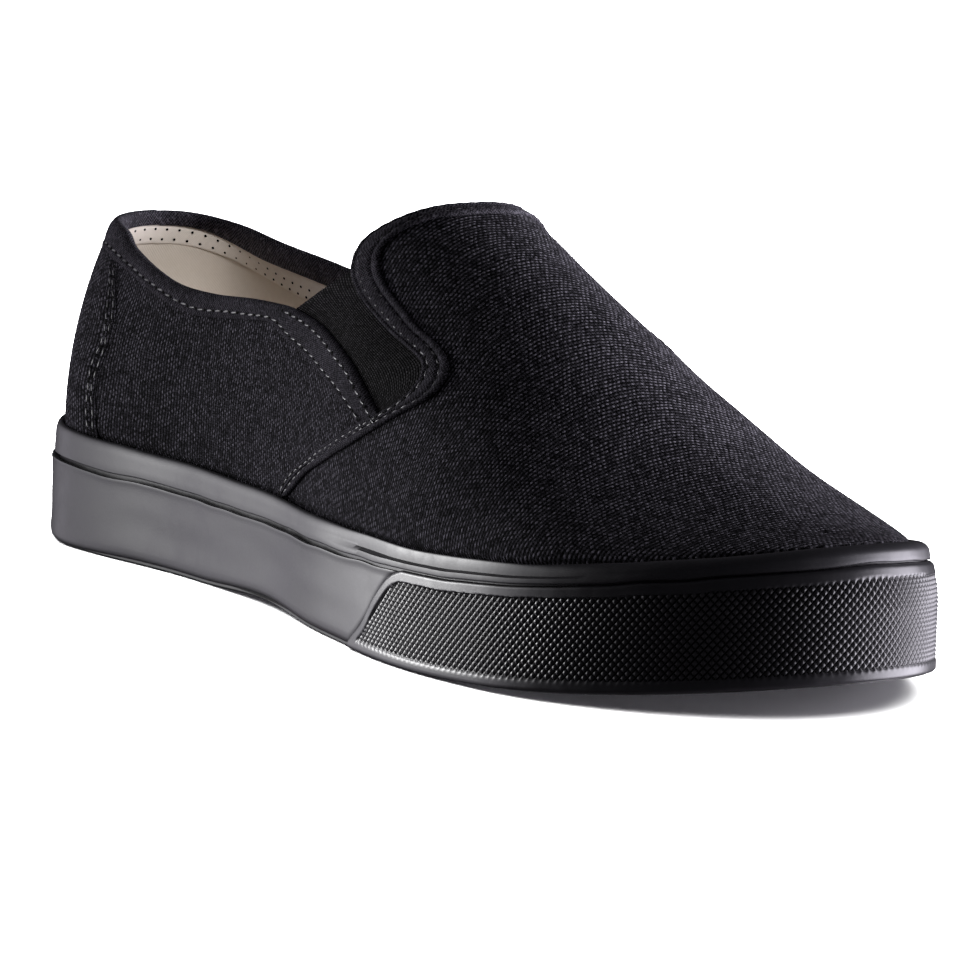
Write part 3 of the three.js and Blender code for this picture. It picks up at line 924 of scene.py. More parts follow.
# Canvas panels
def creases(point):
    """Soft hollows and swells of the canvas, placed in the shoe's sizes."""
    x, z = point.x / SOLE_LENGTH, point.z / INSTEP_HEIGHT
    lift = 0.0
    for spot in CREASES:
        run = math.cos(spot["lean"]) * (x - spot["x"]) * SOLE_LENGTH
        run += math.sin(spot["lean"]) * (z - spot["z"]) * INSTEP_HEIGHT
        rise = -math.sin(spot["lean"]) * (x - spot["x"]) * SOLE_LENGTH
        rise += math.cos(spot["lean"]) * (z - spot["z"]) * INSTEP_HEIGHT
        lift += spot["lift"] * math.exp(-(run / spot["long"]) ** 2 - (rise / spot["wide"]) ** 2)
    return lift


CANVAS_TUCK = 0.8
CANVAS_WALL = 0.9
ELASTIC_WALL = 0.8
CREASES = table(
    "x z lean long wide lift",
    (-0.24, 0.56, -0.2, 34, 5, -0.45),
    (-0.17, 0.47, -0.5, 26, 6, 0.3),
    (-0.33, 0.5, 1.3, 22, 7, -0.35),
    (-0.1, 0.4, 0.4, 24, 7, -0.3),
    (0.16, 0.5, 0.9, 20, 6, -0.35),
    (0.2, 0.42, 0.5, 28, 8, 0.25),
)


def swelled(side, turn, rise):
    """A point of the last with the canvas's hollows and swells, tucked in where it meets the band."""
    point = rib_point(side, turn, rise)
    share = length_share(turn)
    above_band = point.z - band_top(share)
    lift = creases(point) + 0.12 * noise.noise(point * 0.045)
    lift -= CANVAS_TUCK * (1 - ease((above_band + 0.4) / 1.6)) * ease((0.93 - share) / 0.12)
    _, normal = skin.nearest(point)
    return point + normal * lift


ridge_rows = [rib(OUTER, i / 200)[2] for i in range(60, 201)]
ridge_run = [0.0]
for before, after in zip(ridge_rows, ridge_rows[1:]):
    ridge_run.append(ridge_run[-1] + (after - before).length)
ridge_length_at = reading([Vector((p.x, run)) for p, run in zip(ridge_rows, ridge_run)], 0, 1)
ridge_height_at = reading([Vector((p.x, p.z)) for p in ridge_rows], 0, 1)
ridge_middle_at = reading([Vector((p.x, p.y)) for p in ridge_rows], 0, 1)
RIDGE_END = ridge_rows[-1].x


def vamp_place(point):
    """Fabric coordinates of the vamp: along the foot, and across from the ridge."""
    across = point.y - ridge_middle_at(point.x)
    down = point.z - ridge_height_at(point.x)
    chord = math.hypot(across, down)
    beyond = max(point.x - RIDGE_END, 0)
    return ridge_length_at(point.x) + beyond, math.copysign(chord, across)


SEAM_COVER = 2.0
far_back, far_low, far_high = -SOLE_LENGTH, -INSTEP_HEIGHT, 3 * INSTEP_HEIGHT
vamp_limit = moved(side_line(STRAP_FRONT), -SEAM_COVER)
behind_vamp = vamp_limit + [Vector((vamp_limit[-1].x, far_low)), Vector((far_back, far_low)),
                            Vector((far_back, far_high)), Vector((vamp_limit[0].x, far_high))]
quarter_front = moved(side_line(STRAP_REAR), -SEAM_COVER)
quarter_top = moved(side_line(FACING_EDGE), SEAM_COVER)[::-1]
quarter_shape = (
    [Vector((far_back, far_low)), Vector((quarter_front[0].x, far_low))]
    + quarter_front + quarter_top + [Vector((far_back, quarter_top[-1].y))]
)


def vamp_panel():
    """The front of the upper: each column runs from the outer side over the ridge to the inner side."""
    turns, steps = 150, 160
    shares = [2.2 * j / steps - 1.1 for j in range(steps + 1)]
    spots = []
    for i in range(turns + 1):
        turn = 0.42 + 0.58 * i / turns
        spots.append([(OUTER if share < 0 else INNER, turn, 1 - abs(share)) for share in shares])
    uvs = [[vamp_place(rib_point(*spot)) for spot in column] for column in spots]
    columns = [[swelled(*spot) for spot in column] for column in spots]
    form = laid(columns, lambda c: not inside(behind_vamp, c.x, c.z), uvs, weld=0.02)
    return with_wall(finished("vamp_canvas", form, CANVAS, ["upper"]), CANVAS_WALL)


def quarter_panel():
    """Both quarters round the heel, in one piece under the heel panel."""
    turns, steps = 110, 64
    rises = [0.92 * j / steps - 0.08 for j in range(steps + 1)]
    spots = [[(side, 0.62 * turn, rise) for rise in rises] for side, turn in round_the_heel(turns)]
    uvs = measured([[rib_point(*spot) for spot in column] for column in spots])
    columns = [[swelled(*spot) for spot in column] for column in spots]
    form = laid(columns, lambda c: inside(quarter_shape, c.x, c.z), uvs, flip=True)
    return with_wall(finished("quarter_canvas", form, CANVAS, ["upper"]), CANVAS_WALL)


# Trims
STRAP_TIES = table(
    "x z other_x other_z",
    (-0.021, 0.858, 0.011, 0.89),
    (0.011, 0.772, 0.042, 0.797),
    (0.085, 0.688, 0.111, 0.706),
    (0.116, 0.621, 0.143, 0.631),
    (0.098, 0.557, 0.122, 0.56),
    (0.077, 0.526, 0.095, 0.515),
)
COLLAR_TIES = table(
    "x z other_x other_z",
    (-0.372, 0.75, -0.371, 0.697),
    (-0.27, 0.694, -0.267, 0.639),
    (-0.16, 0.704, -0.166, 0.651),
    (-0.097, 0.71, -0.118, 0.656),
    (-0.011, 0.663, -0.03, 0.588),
)


def strap_ribbon(step):
    front = [side_line(STRAP_FRONT)]
    rear = [side_line(rows)[::-1] for rows in (THROAT, GORE_FRONT, STRAP_REAR)]
    halves = []
    for side in (OUTER, INNER):
        halves.append(Ribbon(down_strap(side, rear), down_strap(side, front), STRAP_TIES, step))
    return joined(*halves)


def rim_of(side):
    return TOPLINE if side == OUTER else INNER_TOPLINE


def collar_ribbon(step):
    edge_height = reading(side_line(FACING_EDGE), 0, 1)
    halves = []
    for side in (OUTER, INNER):
        rim_height = reading(side_line(rim_of(side)), 0, 1)
        rim = round_heel(side, rim_height, -0.1 * SOLE_LENGTH)
        rim += on_side(side, side_line(GORE_REAR + FACING_TUCK))
        limit = -0.13 * SOLE_LENGTH
        front = [point for point in side_line(FACING_EDGE + FACING_EDGE_TUCK) if point.x > limit + 1]
        edge = round_heel(side, edge_height, limit) + on_side(side, front)
        halves.append(Ribbon(spaced(rim, 0.8), spaced(edge, 0.8), COLLAR_TIES, step))
    return joined(*halves)


STRAP_SECTION = table(
    "share offset height",
    (0, 1.6, -1.5),
    (0, 0.5, -1.3),
    (0, 0.0, -0.5),
    (0, 0.05, 0.2),
    (0, 0.5, 0.62),
    (0, 1.1, 0.72),
    (0, 1.7, 0.42),
    (0, 2.4, 0.7),
    (0.5, 0, 0.8),
    (1, -3.3, 0.72),
    (1, -2.6, 0.4),
    (1, -1.9, 0.85),
    (1, -0.9, 1.08),
    (1, -0.1, 0.8),
    (1, 0.0, 0.3),
    (1, -0.3, 0.0),
    (1, -0.9, -0.3),
)
COLLAR_SECTION = table(
    "share offset height fold depth",
    (1, -0.7, -0.2, 0, 0),
    (1, 0.0, 0.05, 0, 0),
    (1, 0.0, 0.4, 0, 0),
    (1, -0.45, 0.72, 0, 0),
    (1, -0.9, 0.78, 0, 0),
    (1, -1.5, 0.45, 0, 0),
    (1, -2.2, 0.78, 0, 0),
    (0.45, 0, 0.9, 0, 0),
    (0, 1.9, 0.85, 0, 0),
    (0, 0.6, 0.45, 0, 0),
    (0, 0.0, -0.6, 0, 0),
    (0, 0.4, -1.7, 0.3, 0),
    (0, 1.3, -2.5, 1, 0.25),
    (0, 1.3, -2.8, 1, 0.6),
    (0, 1.3, -2.85, 1, 0.93),
    (0, 1.3, -2.7, 1, 1.0),
    (0, 1.3, -2.4, 1, 0.93),
)
STITCH_PITCH = 3.1
COLLAR_PITCH = 3.7


def ribbon_columns(ribbon, section, shape=None):
    columns = []
    run = 0.0
    for i in range(len(ribbon.first)):
        if i:
            run += (ribbon.first[i] - ribbon.first[i - 1]).length
        pucker = 0.07 * math.sin(2 * math.pi * run / STITCH_PITCH)
        column = []
        for row in section:
            given = shape(i, row) if shape else row
            lift = pucker if given["height"] > 0.6 else 0
            column.append(ribbon.spot(i, given["share"], given["offset"], given["height"] + lift))
        columns.append(column)
    return columns


TRIM_STEP = 0.75
strap = strap_ribbon(TRIM_STEP)
collar = collar_ribbon(TRIM_STEP)


def strap_piece():
    columns = ribbon_columns(strap, smooth_rows(STRAP_SECTION, 2))
    return finished("vamp_strap", laid(columns, flip=True), TRIM, ["vamp_trim"])


def fold_depth(place):
    """How far the collar's fold reaches down inside the rim."""
    return 2.7 + 2.9 * ease((place.x / SOLE_LENGTH + 0.462) / 0.07)


def lower_tape_row(place):
    """How far under the rim the tape's lower row of needle holes runs."""
    return 6.6 + 5.6 * ease((place.x / SOLE_LENGTH + 0.475) / 0.125)


def collar_shape(i, row):
    """The collar's section: its fold fades out along the gore, and its end tucks under the strap."""
    place = collar.first[i]
    end = min(i, len(collar.first) - 1 - i) * TRIM_STEP
    if row["fold"] <= 0 < row["height"]:
        return {**row, "height": row["height"] * (0.2 + 0.8 * ease((end - 5) / 4))}
    if row["fold"] <= 0:
        return row
    behind = ease((-0.105 * SOLE_LENGTH - place.x) / 4)
    share = 1 - (1 - behind) * clamp01(row["fold"] * 2)
    offset = row["offset"] + row["depth"] * (fold_depth(place) - 1)
    return {
        "share": row["share"],
        "offset": 0.9 + (offset - 0.9) * share,
        "height": -1.3 + (row["height"] + 1.3) * share,
    }


def collar_piece():
    columns = ribbon_columns(collar, smooth_rows(COLLAR_SECTION, 2), collar_shape)
    return finished("collar_facing", laid(columns, flip=True), TRIM, ["collar_trim"])


def heel_panel():
    """The heel panel behind its two seams, a little proud of the quarters."""
    seam_x = reading(side_line(COUNTER_EDGE), 1, 0)
    edge_height = reading(side_line(FACING_EDGE), 0, 1)
    steps, across = 44, 36

    def before_seam(place):
        return place.x > seam_x(place.z)

    columns = []
    for side, share in round_the_heel(across):
        column = []
        for j in range(steps + 1):
            rise = 0.9 * j / steps - 0.06
            turn = halve(0.05, 0.45, lambda t: before_seam(rib_point(side, t, rise)))
            point = rib_point(side, turn * share, rise)
            _, normal = skin.nearest(point)
            lift = 0.55 * ease((1 - share) * turn * 40) + 0.02
            column.append(point + normal * lift)
        columns.append(column)
    form = laid(columns, lambda c: c.z < edge_height(c.x) + 1.5, flip=True)
    return finished("heel_panel", form, CANVAS, ["heel_counter"])


ELASTIC_DEPTH = 1.75
ELASTIC_SWELL = 0.35


def gore_columns(side):
    """The elastic between its rear and front edge, sunk in and swelling a little in its middle."""
    rear = spaced(on_side(side, side_line(GORE_REAR + ELASTIC_REAR_TUCK)), 0.5)
    front = spaced(on_side(side, side_line(ELASTIC_FRONT_TUCK + GORE_FRONT)), 0.5)[::-1]
    rows = 44
    columns = []
    ties = table("at other", (0.0, 0.0), (0.35, 0.33), (0.7, 0.68), (0.9, 0.86), (1.0, 1.0))
    for k in range(41):
        share = -0.12 + 1.24 * k / 40
        column = []
        for j in range(rows + 1):
            down = j / rows
            start = at_share(rear, down)
            end = at_share(front, along(ties, "other", down))
            place, normal = skin.nearest(start.lerp(end, share))
            swell = ELASTIC_SWELL * math.sin(math.pi * clamp01(share))
            swell *= math.sin(math.pi * clamp01(down * 0.9 + 0.1))
            column.append(place + normal * (swell - ELASTIC_DEPTH))
        columns.append(column)
    return columns


def gore_piece(side, name, node):
    form = laid(gore_columns(side), flip=side > 0)
    return with_wall(finished(name, form, ELASTIC, [node]), ELASTIC_WALL)


# Stitches
RAIL_STEP = 0.4
THREAD_RADIUS = 0.24
THREAD_SLANT = 0.12
COUNTER_PITCH = 3.0


def thread_line(form, rail, pitch, length, sway):
    """Stitches along a rail: each a small bead of thread that dips at both ends."""
    line = spaced(rail, RAIL_STEP)
    count = int(length_of(line) / pitch)
    for k in range(count):
        middle = (k + 0.5) * pitch / RAIL_STEP
        if middle >= len(line) - 3:
            break
        wobble = noise.noise(Vector((k * 0.73, THREAD_RADIUS * 9, 4.0)))
        half = 0.5 * length * (1 + 0.16 * wobble) / RAIL_STEP
        a = line[max(int(middle - half), 0)]
        b = line[min(int(middle + half), len(line) - 1)]
        place = (a + b) / 2
        run = (b - a).normalized()
        _, normal = skin.nearest(place)
        side = normal.cross(run).normalized()
        run = (run + side * (THREAD_SLANT + 0.12 * wobble)).normalized()
        side = normal.cross(run).normalized()
        up = run.cross(side)
        place = place + side * sway * noise.noise(Vector((k * 0.35, 7.0, 2.0)))
        lay = Matrix((run * length / 2, side * THREAD_RADIUS, up * THREAD_RADIUS * 0.9)).transposed()
        basis = Matrix.Translation(place) @ lay.to_4x4()
        bmesh.ops.create_uvsphere(form, u_segments=6, v_segments=5, radius=1, matrix=basis)


def pit_line(form, rail, pitch, radius, start=0.0):
    """Needle holes between stitches, as small dimples in a near-black that is painted shade."""
    line = spaced(rail, RAIL_STEP)
    count = int((length_of(line) - start) / pitch) + 1
    for k in range(count):
        place_index = int((start + k * pitch) / RAIL_STEP)
        if place_index >= len(line):
            break
        place = line[place_index]
        _, normal = skin.nearest(place)
        turn = normal.to_track_quat("Z", "Y").to_matrix().to_4x4()
        basis = Matrix.Translation(place) @ turn @ Matrix.Diagonal((radius, radius, radius * 0.35, 1))
        bmesh.ops.create_uvsphere(form, u_segments=6, v_segments=4, radius=1, matrix=basis)


def halves_of(rail):
    middle = len(rail) // 2
    return rail[:middle], rail[middle:]


def beside_gore(place):
    """1 where the strap runs up beside the elastic, and 0 round its corner and along the throat."""
    rise = place.z / INSTEP_HEIGHT
    return ease((rise - 0.62) / 0.1) * ease((0.93 - rise) / 0.07)


def seam_rails():
    """Every stitched row on the outside."""
    rows = []
    vamp_row = strap.rail(1, lambda place: -2.3 - 1.1 * beside_gore(place), 0.48)
    rows.append({"rail": vamp_row, "pitch": STITCH_PITCH, "length": 1.9})
    for half in halves_of(strap.rail(0, lambda place: 1.7 + 1.2 * beside_gore(place), 0.55)):
        kept = [point for point in half if point.z < 0.87 * INSTEP_HEIGHT]
        rows.append({"rail": kept, "pitch": STITCH_PITCH, "length": 1.9})
    rows.append({"rail": collar.rail(1, -1.5, 0.53), "pitch": COLLAR_PITCH, "length": 2.1})
    for half in halves_of(collar.rail(0, 2.0, 0.85)):
        kept = [point for point in half if point.x > -0.118 * SOLE_LENGTH]
        rows.append({"rail": kept, "pitch": COLLAR_PITCH, "length": 2.0})
    return rows


def counter_rails():
    """The double rows down both seams of the heel panel."""
    seam_x = reading(side_line(COUNTER_EDGE), 1, 0)
    rails = []
    for side in (OUTER, INNER):
        for shift in (-0.7, -2.9):
            rail = []
            for j in range(60):
                z = 0.3 * INSTEP_HEIGHT + 0.4 * INSTEP_HEIGHT * j / 59
                x = seam_x(z) + shift + 0.4 * math.sin(j * 0.33 + shift)
                hit = skin.side_hit(side, x, z)
                _, normal = skin.nearest(hit)
                rail.append(hit + normal * 0.62)
            rails.append(rail)
    return rails


def stitches_piece():
    form = bmesh.new()
    for row in seam_rails():
        thread_line(form, row["rail"], row["pitch"], row["length"], 0.3)
    for rail in counter_rails():
        thread_line(form, rail, COUNTER_PITCH, 1.9, 0.5)
    return finished("stitches", form, THREAD)


def pits_piece():
    form = bmesh.new()
    for row in seam_rails():
        pit_line(form, row["rail"], row["pitch"], 0.5)
    for rail in counter_rails():
        pit_line(form, rail, COUNTER_PITCH, 0.4)
    return finished("needle_holes", form, PIT_SHADE)


# Inside
TAPE_SECTION = table(
    "depth height",
    (0.35, -2.3), (0.45, -2.5), (0.6, -2.6), (0.88, -2.6), (0.96, -2.55), (1.0, -2.35), (0.97, -2.1),
)
FRONT_TAPE_SECTION = table(
    "depth height",
    (0.09, -2.0), (0.06, -2.3), (0.14, -2.55), (0.72, -2.6), (0.92, -2.55), (1.0, -2.3), (0.95, -2.0),
)


def lining_panel():
    turns, steps = 130, 60
    columns = []
    for side, turn in round_the_heel(turns):
        column = []
        for j in range(steps + 1):
            rise = 1.32 * j / steps - 0.37
            point = rib_point(side, 0.97 * turn, rise)
            place, normal = skin.nearest(point)
            fold = 0.35 * math.sin(point.x * 0.32 + point.z * 0.5) * ease((point.x + 75) / 40)
            column.append(place + normal * (-UPPER_WALL - 0.25 + 0.4 * fold))
        columns.append(column)
    gore_edge = moved(side_line(GORE_REAR), -3.5)
    front = moved(side_line(GORE_FRONT), -3.0) + moved(side_line(THROAT), -3.0)
    above = [Vector((front[-1].x, far_high)), Vector((far_back, far_high))]
    openings = {side: moved(side_line(rim_of(side)), -4.2) + gore_edge + front + above
                for side in (OUTER, INNER)}

    def kept(place):
        return not inside(openings[OUTER if place.y < 0 else INNER], place.x, place.z)

    return finished("lining", laid(columns, kept), LINING)


def inner_tape(name, ribbon, section, depth_at, keep, wave):
    columns = []
    rows = smooth_rows(section, 2)
    for i, place in enumerate(ribbon.first):
        if not keep(place):
            continue
        column = []
        for row in rows:
            lift = wave * noise.noise(place * 0.09 + Vector((row["depth"], 0, 0)))
            column.append(ribbon.spot(i, 0, row["depth"] * depth_at(place), row["height"] + lift))
        columns.append(column)
    return finished(name, laid(columns, flip=True), TAPE)


def inner_holes():
    form = bmesh.new()
    for shift, start in ((-2.6, 0.0), (0.0, 1.4)):
        rail = collar.rail(0, lambda place: lower_tape_row(place) + shift, -2.68)
        pit_line(form, rail, 3.2, 0.36, start)
    return finished("lining_needle_holes", form, PIT_SHADE)


# Rubber
class Perimeter:
    """The outline as one line from the heel's middle along the outer side, round the toe and back."""

    def __init__(self, steps):
        self.turns = round_the_toe(steps)
        self.run = [0.0]
        for before, after in zip(self.turns, self.turns[1:]):
            self.run.append(self.run[-1] + (outline(*after) - outline(*before)).length)
        self.length = self.run[-1]

    def at(self, run):
        low, high = 0, len(self.run) - 1
        while high - low > 1:
            middle = (low + high) // 2
            if self.run[middle] <= run:
                low = middle
            else:
                high = middle
        span = self.run[high] - self.run[low]
        share = (run - self.run[low]) / span if span else 0
        a, b = self.turns[low], self.turns[high]
        place = outline(*a).lerp(outline(*b), share)
        way = inward(*a).lerp(inward(*b), share).normalized()
        return place, way, (place.x / SOLE_LENGTH) + 0.5


perimeter = Perimeter(900)
bumper_rear = side_line(BUMPER_REAR, 0.4)
rear_at = reading(bumper_rear, 1, 0)


def wavy(run, size, scale=0.02, seed=0.0):
    """A small unevenness that closes on itself round the sole."""
    angle = 2 * math.pi * run / perimeter.length
    reach = perimeter.length * scale / (2 * math.pi)
    return size * noise.noise(Vector((math.cos(angle) * reach, math.sin(angle) * reach, seed)))


RING_STEP = 1.2


def wall_ring(name, section_at, node):
    """A closed band of rubber round the sole, from a section given at each place."""
    count = round(perimeter.length / RING_STEP)
    columns = []
    for i in range(count + 1):
        run = perimeter.length * (i % count) / count
        place, way, share = perimeter.at(run)
        column = []
        section = section_at(run, share)
        for inset, height in section + section[:1]:
            flat = place + way * inset
            column.append(Vector((flat.x, flat.y, height)))
        columns.append(column)
    return finished(name, laid(columns, weld=0.005), SOLE_RUBBER, [node])


WALL_GAP = 0.42
SIDEWALL_LEAN = 1.3
TOE_CURL = 2.0
TOE_BAND_SETBACK = 1.7


def ball_lean(share):
    """Beside the ball the sole's side leans in a little towards the top."""
    return ease((share - 0.5) / 0.13) * ease((0.95 - share) / 0.15)


def toe_set(share):
    """Round the toe the band sits further in and the bumper's top edge curves in towards it."""
    return ease((share - 0.86) / 0.11)


def toe_curl(share, rise):
    """How far the rubber's face curves in at a share of its height."""
    return TOE_CURL * toe_set(share) * clamp01((rise - 0.6) / 0.4) ** 2


def sidewall_section(run, share):
    """The tall side of the sole. It steps back where the bumper lies over it."""
    low = underside(share) + 0.35 + 0.55 * ease((share - 0.12) / 0.1)
    top = wall_top(share) - WALL_GAP + wavy(run, 0.5, 0.09, 3.0)
    face = SIDEWALL_SETBACK
    lean = SIDEWALL_LEAN * ball_lean(share)
    rows = [(2.0, low + 0.2), (face + 1.6, low), (face + 0.8, low + 0.2), (face + 0.3, low + 0.8),
            (face + 0.06, low + 1.7)]
    for k in range(1, 14):
        t = k / 14
        hollow = 0.2 * math.sin(math.pi * t) + wavy(run, 0.12, 0.05, t * 3)
        rows.append((face + hollow + lean * t, low + 1.7 + (top - low - 2.5) * t))
    face += lean
    rows += [(face - 0.02, top - 0.8), (face - 0.14, top - 0.4), (face - 0.08, top - 0.12),
             (face + 0.15, top), (face + 0.8, top - 0.2), (2.0, top - 0.8)]
    x = (share - 0.5) * SOLE_LENGTH
    behind = [1.4 * ease((x - rear_at(height) - 0.4) / 1.2) for inset, height in rows]
    return [(inset + step * (inset < 1.9) + toe_curl(share, (height - low) / (top - low)), height)
            for (inset, height), step in zip(rows, behind)]


def band_section(run, share):
    """The narrow band: a leaning face, a wide rounded shoulder, and a tongue behind the sidewall."""
    foot = wall_top(share) + WALL_GAP + wavy(run, 0.4, 0.09, 3.0)
    top = band_top(share) + wavy(run, 0.3, 0.05, 8.0)
    face = BAND_SETBACK + TOE_BAND_SETBACK * toe_set(share)
    tongue = 2.15 + TOE_BAND_SETBACK * toe_set(share)
    inside = rubber_inside(share)
    crest = BAND_TOP_SETBACK + ledge(share) * 0.8
    rise = top - foot
    rows = [(inside, foot - 4.0), (tongue, foot - 4.0), (tongue, foot - 0.1), (face + 0.25, foot),
            (face + 0.05, foot + 0.15), (face, foot + 0.4), (face + 0.1, foot + 0.3 * rise)]
    shoulder = min(BAND_SHOULDER + 0.4, 0.6 * rise)
    lean = BAND_LEAN * (1 + 4.5 * ball_lean(share))
    for k in range(8):
        angle = math.pi / 2 * k / 7
        inset = crest - (crest - face - lean) * math.cos(angle)
        rows.append((inset, top - shoulder * (1 - math.sin(angle))))
    rows += [((crest + inside) / 2, top - 0.25), (inside - 0.25, top - 0.8), (inside - 0.1, top - 1.8)]
    return rows


def sole_form(bottom_at, top_at, inset, edge, across, turns):
    """A sole sheet: each slice runs across the bottom and back over the top."""
    columns = []
    for i in range(turns + 1):
        turn = i / turns
        share = length_share(turn)
        column = []
        outer = set_in(OUTER, turn, inset(share))
        inner = set_in(INNER, turn, inset(share))
        for facing in ("down", "up"):
            for j in range(across + 1):
                t = j / across if facing == "down" else 1 - j / across
                flat = outer.lerp(inner, t)
                rim = min(t, 1 - t) * (inner - outer).length
                tuck = edge * (1 - clamp01(rim / edge)) ** 2
                if facing == "down":
                    height = bottom_at(share, flat, rim) + tuck
                else:
                    height = top_at(share, flat, rim) - tuck
                column.append(Vector((flat.x, flat.y, height)))
        column.append(column[0].copy())
        columns.append(column)
    return laid(columns, flip=True, weld=0.005)


GROOVE_PITCH = 6.2
GROOVE_DEPTH = 1.0
ZIGZAG_REACH = 2.2
ZIGZAG_LENGTH = 11
TREAD_BORDER = 6
HEEL_CUP_DEPTH = 1.6
HEEL_CUP_WIDTH = 14
ARCH_PAD_HEIGHT = 0.8
ARCH_PAD_WIDTH = 30


def tread(share, flat, rim):
    """Zigzag grooves in the outsole's underside, inside a plain border."""
    wave = ZIGZAG_REACH * (2 * abs((flat.y / ZIGZAG_LENGTH) % 1 - 0.5) * 2 - 1)
    place = ((flat.x + wave) / GROOVE_PITCH) % 1
    groove = ease((0.32 - abs(place - 0.5)) / 0.1)
    inner_area = ease((rim - TREAD_BORDER) / 0.8)
    ends = ease((share - 0.03) / 0.01) * ease((0.97 - share) / 0.01)
    return underside(share) + GROOVE_DEPTH * groove * inner_area * ends


def insole_top(share, flat, rim):
    """The footbed's top, cupped round the heel and a little raised under the arch."""
    cup = HEEL_CUP_DEPTH * (1 - ease(rim / HEEL_CUP_WIDTH)) * (1 - ease((share - 0.5) / 0.3))
    pad = ARCH_PAD_HEIGHT * math.exp(-((share - 0.45) / 0.12) ** 2) * (1 - ease(rim / ARCH_PAD_WIDTH))
    return ground(share) + MIDSOLE_BASE + FIT_GAP + INSOLE_THICKNESS + cup + pad


def tread_sheet():
    form = sole_form(
        tread,
        lambda share, flat, rim: ground(share) + OUTSOLE_THICKNESS,
        lambda share: OUTSOLE_SETBACK + 0.5,
        edge=0.6, across=84, turns=260,
    )
    return finished("tread_sheet", form, TREAD_RUBBER, ["outsole"])


def footbed():
    form = sole_form(
        lambda share, flat, rim: ground(share) + MIDSOLE_BASE + FIT_GAP,
        insole_top,
        lambda share: upper_inset(share, -UPPER_WALL) + 0.4,
        edge=1.2, across=30, turns=90,
    )
    return finished("footbed", form, INSOLE_CLOTH, ["insole"])


# The toe bumper
KNURL_WIDTH = 1.8
KNURL_HEIGHT = 1.9
KNURL_DEPTH = 0.45
KNURL_CUTS = 6
BUMPER_FOOT = 0.45
BUMPER_BORDER = 2.3
BUMPER_TOP_BORDER = 2.6
BUMPER_REAR_BORDER = 2.1
BORDER_ROWS = 5
BUMPER_ROWS = 74
BUMPER_WALL = 1.0


def bumper_heights(foot, top):
    """Rows of one column: the lower border, the knurl's even rows, and the upper border."""
    step = KNURL_HEIGHT / KNURL_CUTS
    start = foot + BUMPER_BORDER
    count = int((top - BUMPER_TOP_BORDER - start) / step)
    heights = [foot + BUMPER_BORDER * j / BORDER_ROWS for j in range(BORDER_ROWS)]
    heights += [start + step * j for j in range(count)]
    last = heights[-1]
    rest = BUMPER_ROWS - len(heights)
    return heights + [last + (top - last) * j / rest for j in range(1, rest + 1)]


def bumper_piece():
    """The knurled wrap round the toe, from a fine grid cut to its curved rear ends."""
    runs = (perimeter.length * i / 4000 for i in range(4000))
    first = next(run for run in runs if perimeter.at(run)[0].x > bumper_rear[0].x - 1)
    toe = perimeter.length / 2
    step = KNURL_WIDTH / KNURL_CUTS
    half = int((toe - first) / step)
    columns, uvs, hollows = [], [], []
    for i in range(-half, half + 1):
        run = toe + i * step
        place, way, share = perimeter.at(run)
        foot = ground(share) + BUMPER_FOOT
        top = wall_top(share) + wavy(run, 0.3, 0.09, 3.0)
        column, depths = [], []
        for z in bumper_heights(foot, top):
            behind = place.x - rear_at(z)
            if 0 < behind < 16:
                behind = min((Vector((place.x, z)) - point).length for point in bumper_rear)
            u, v = (run - toe) / KNURL_WIDTH, (z - foot - BUMPER_BORDER) / KNURL_HEIGHT
            one = 1 - abs(2 * ((u + v) % 1) - 1)
            two = 1 - abs(2 * ((u - v) % 1) - 1)
            area = (ease((z - foot - BUMPER_BORDER + 0.1) / 0.25)
                    * ease((top - BUMPER_TOP_BORDER + 0.3 - z) / 0.25)
                    * ease((behind - BUMPER_REAR_BORDER) / 0.3))
            depths.append(area * (1 - min(one, two)))
            sunk = area * 0.08 + KNURL_DEPTH * depths[-1]
            edge = min(z - foot, top - z, behind)
            sunk += 0.4 * (1 - clamp01(edge / 0.6)) ** 2
            sunk += SIDEWALL_LEAN * ball_lean(share) * (z - foot) / (top - foot)
            sunk += toe_curl(share, (z - foot) / (top - foot))
            flat = place + way * sunk
            column.append(Vector((flat.x, flat.y, z)))
        columns.append(column)
        uvs.append([(run - toe, point.z - foot - BUMPER_BORDER) for point in column])
        hollows.append(depths)
    form = laid(columns, lambda c: c.x > rear_at(c.z), uvs, hollows=hollows)
    rim = [edge for edge in form.edges if edge.is_boundary]
    grown = bmesh.ops.extrude_edge_only(form, edges=rim)["geom"]
    for vert in grown:
        if isinstance(vert, bmesh.types.BMVert):
            middle = Vector((SOLE_LENGTH * 0.28, TOE_SHIFT * 0.5, vert.co.z))
            vert.co += (middle - vert.co).normalized() * BUMPER_WALL
    return finished("toe_bumper_knurled", form, BUMPER_RUBBER, ["toe_bumper"])


vamp_panel()
quarter_panel()
strap_piece()
collar_piece()
heel_panel()
gore_piece(OUTER, "elastic_gore_outer", "gore_outer")
gore_piece(INNER, "elastic_gore_inner", "gore_inner")
stitches_piece()
pits_piece()
lining_panel()
inner_tape("collar_tape", collar, TAPE_SECTION, lambda place: lower_tape_row(place) + 1.4,
           lambda place: True, 0.25)
inner_tape("throat_tape", strap, FRONT_TAPE_SECTION, lambda place: 6.9,
           lambda place: place.z > 0.4 * INSTEP_HEIGHT, 0.15)
inner_holes()
wall_ring("sole_sidewall", sidewall_section, "midsole")
wall_ring("foxing_band_rounded", band_section, "foxing_band")
tread_sheet()
footbed()
bumper_piece()


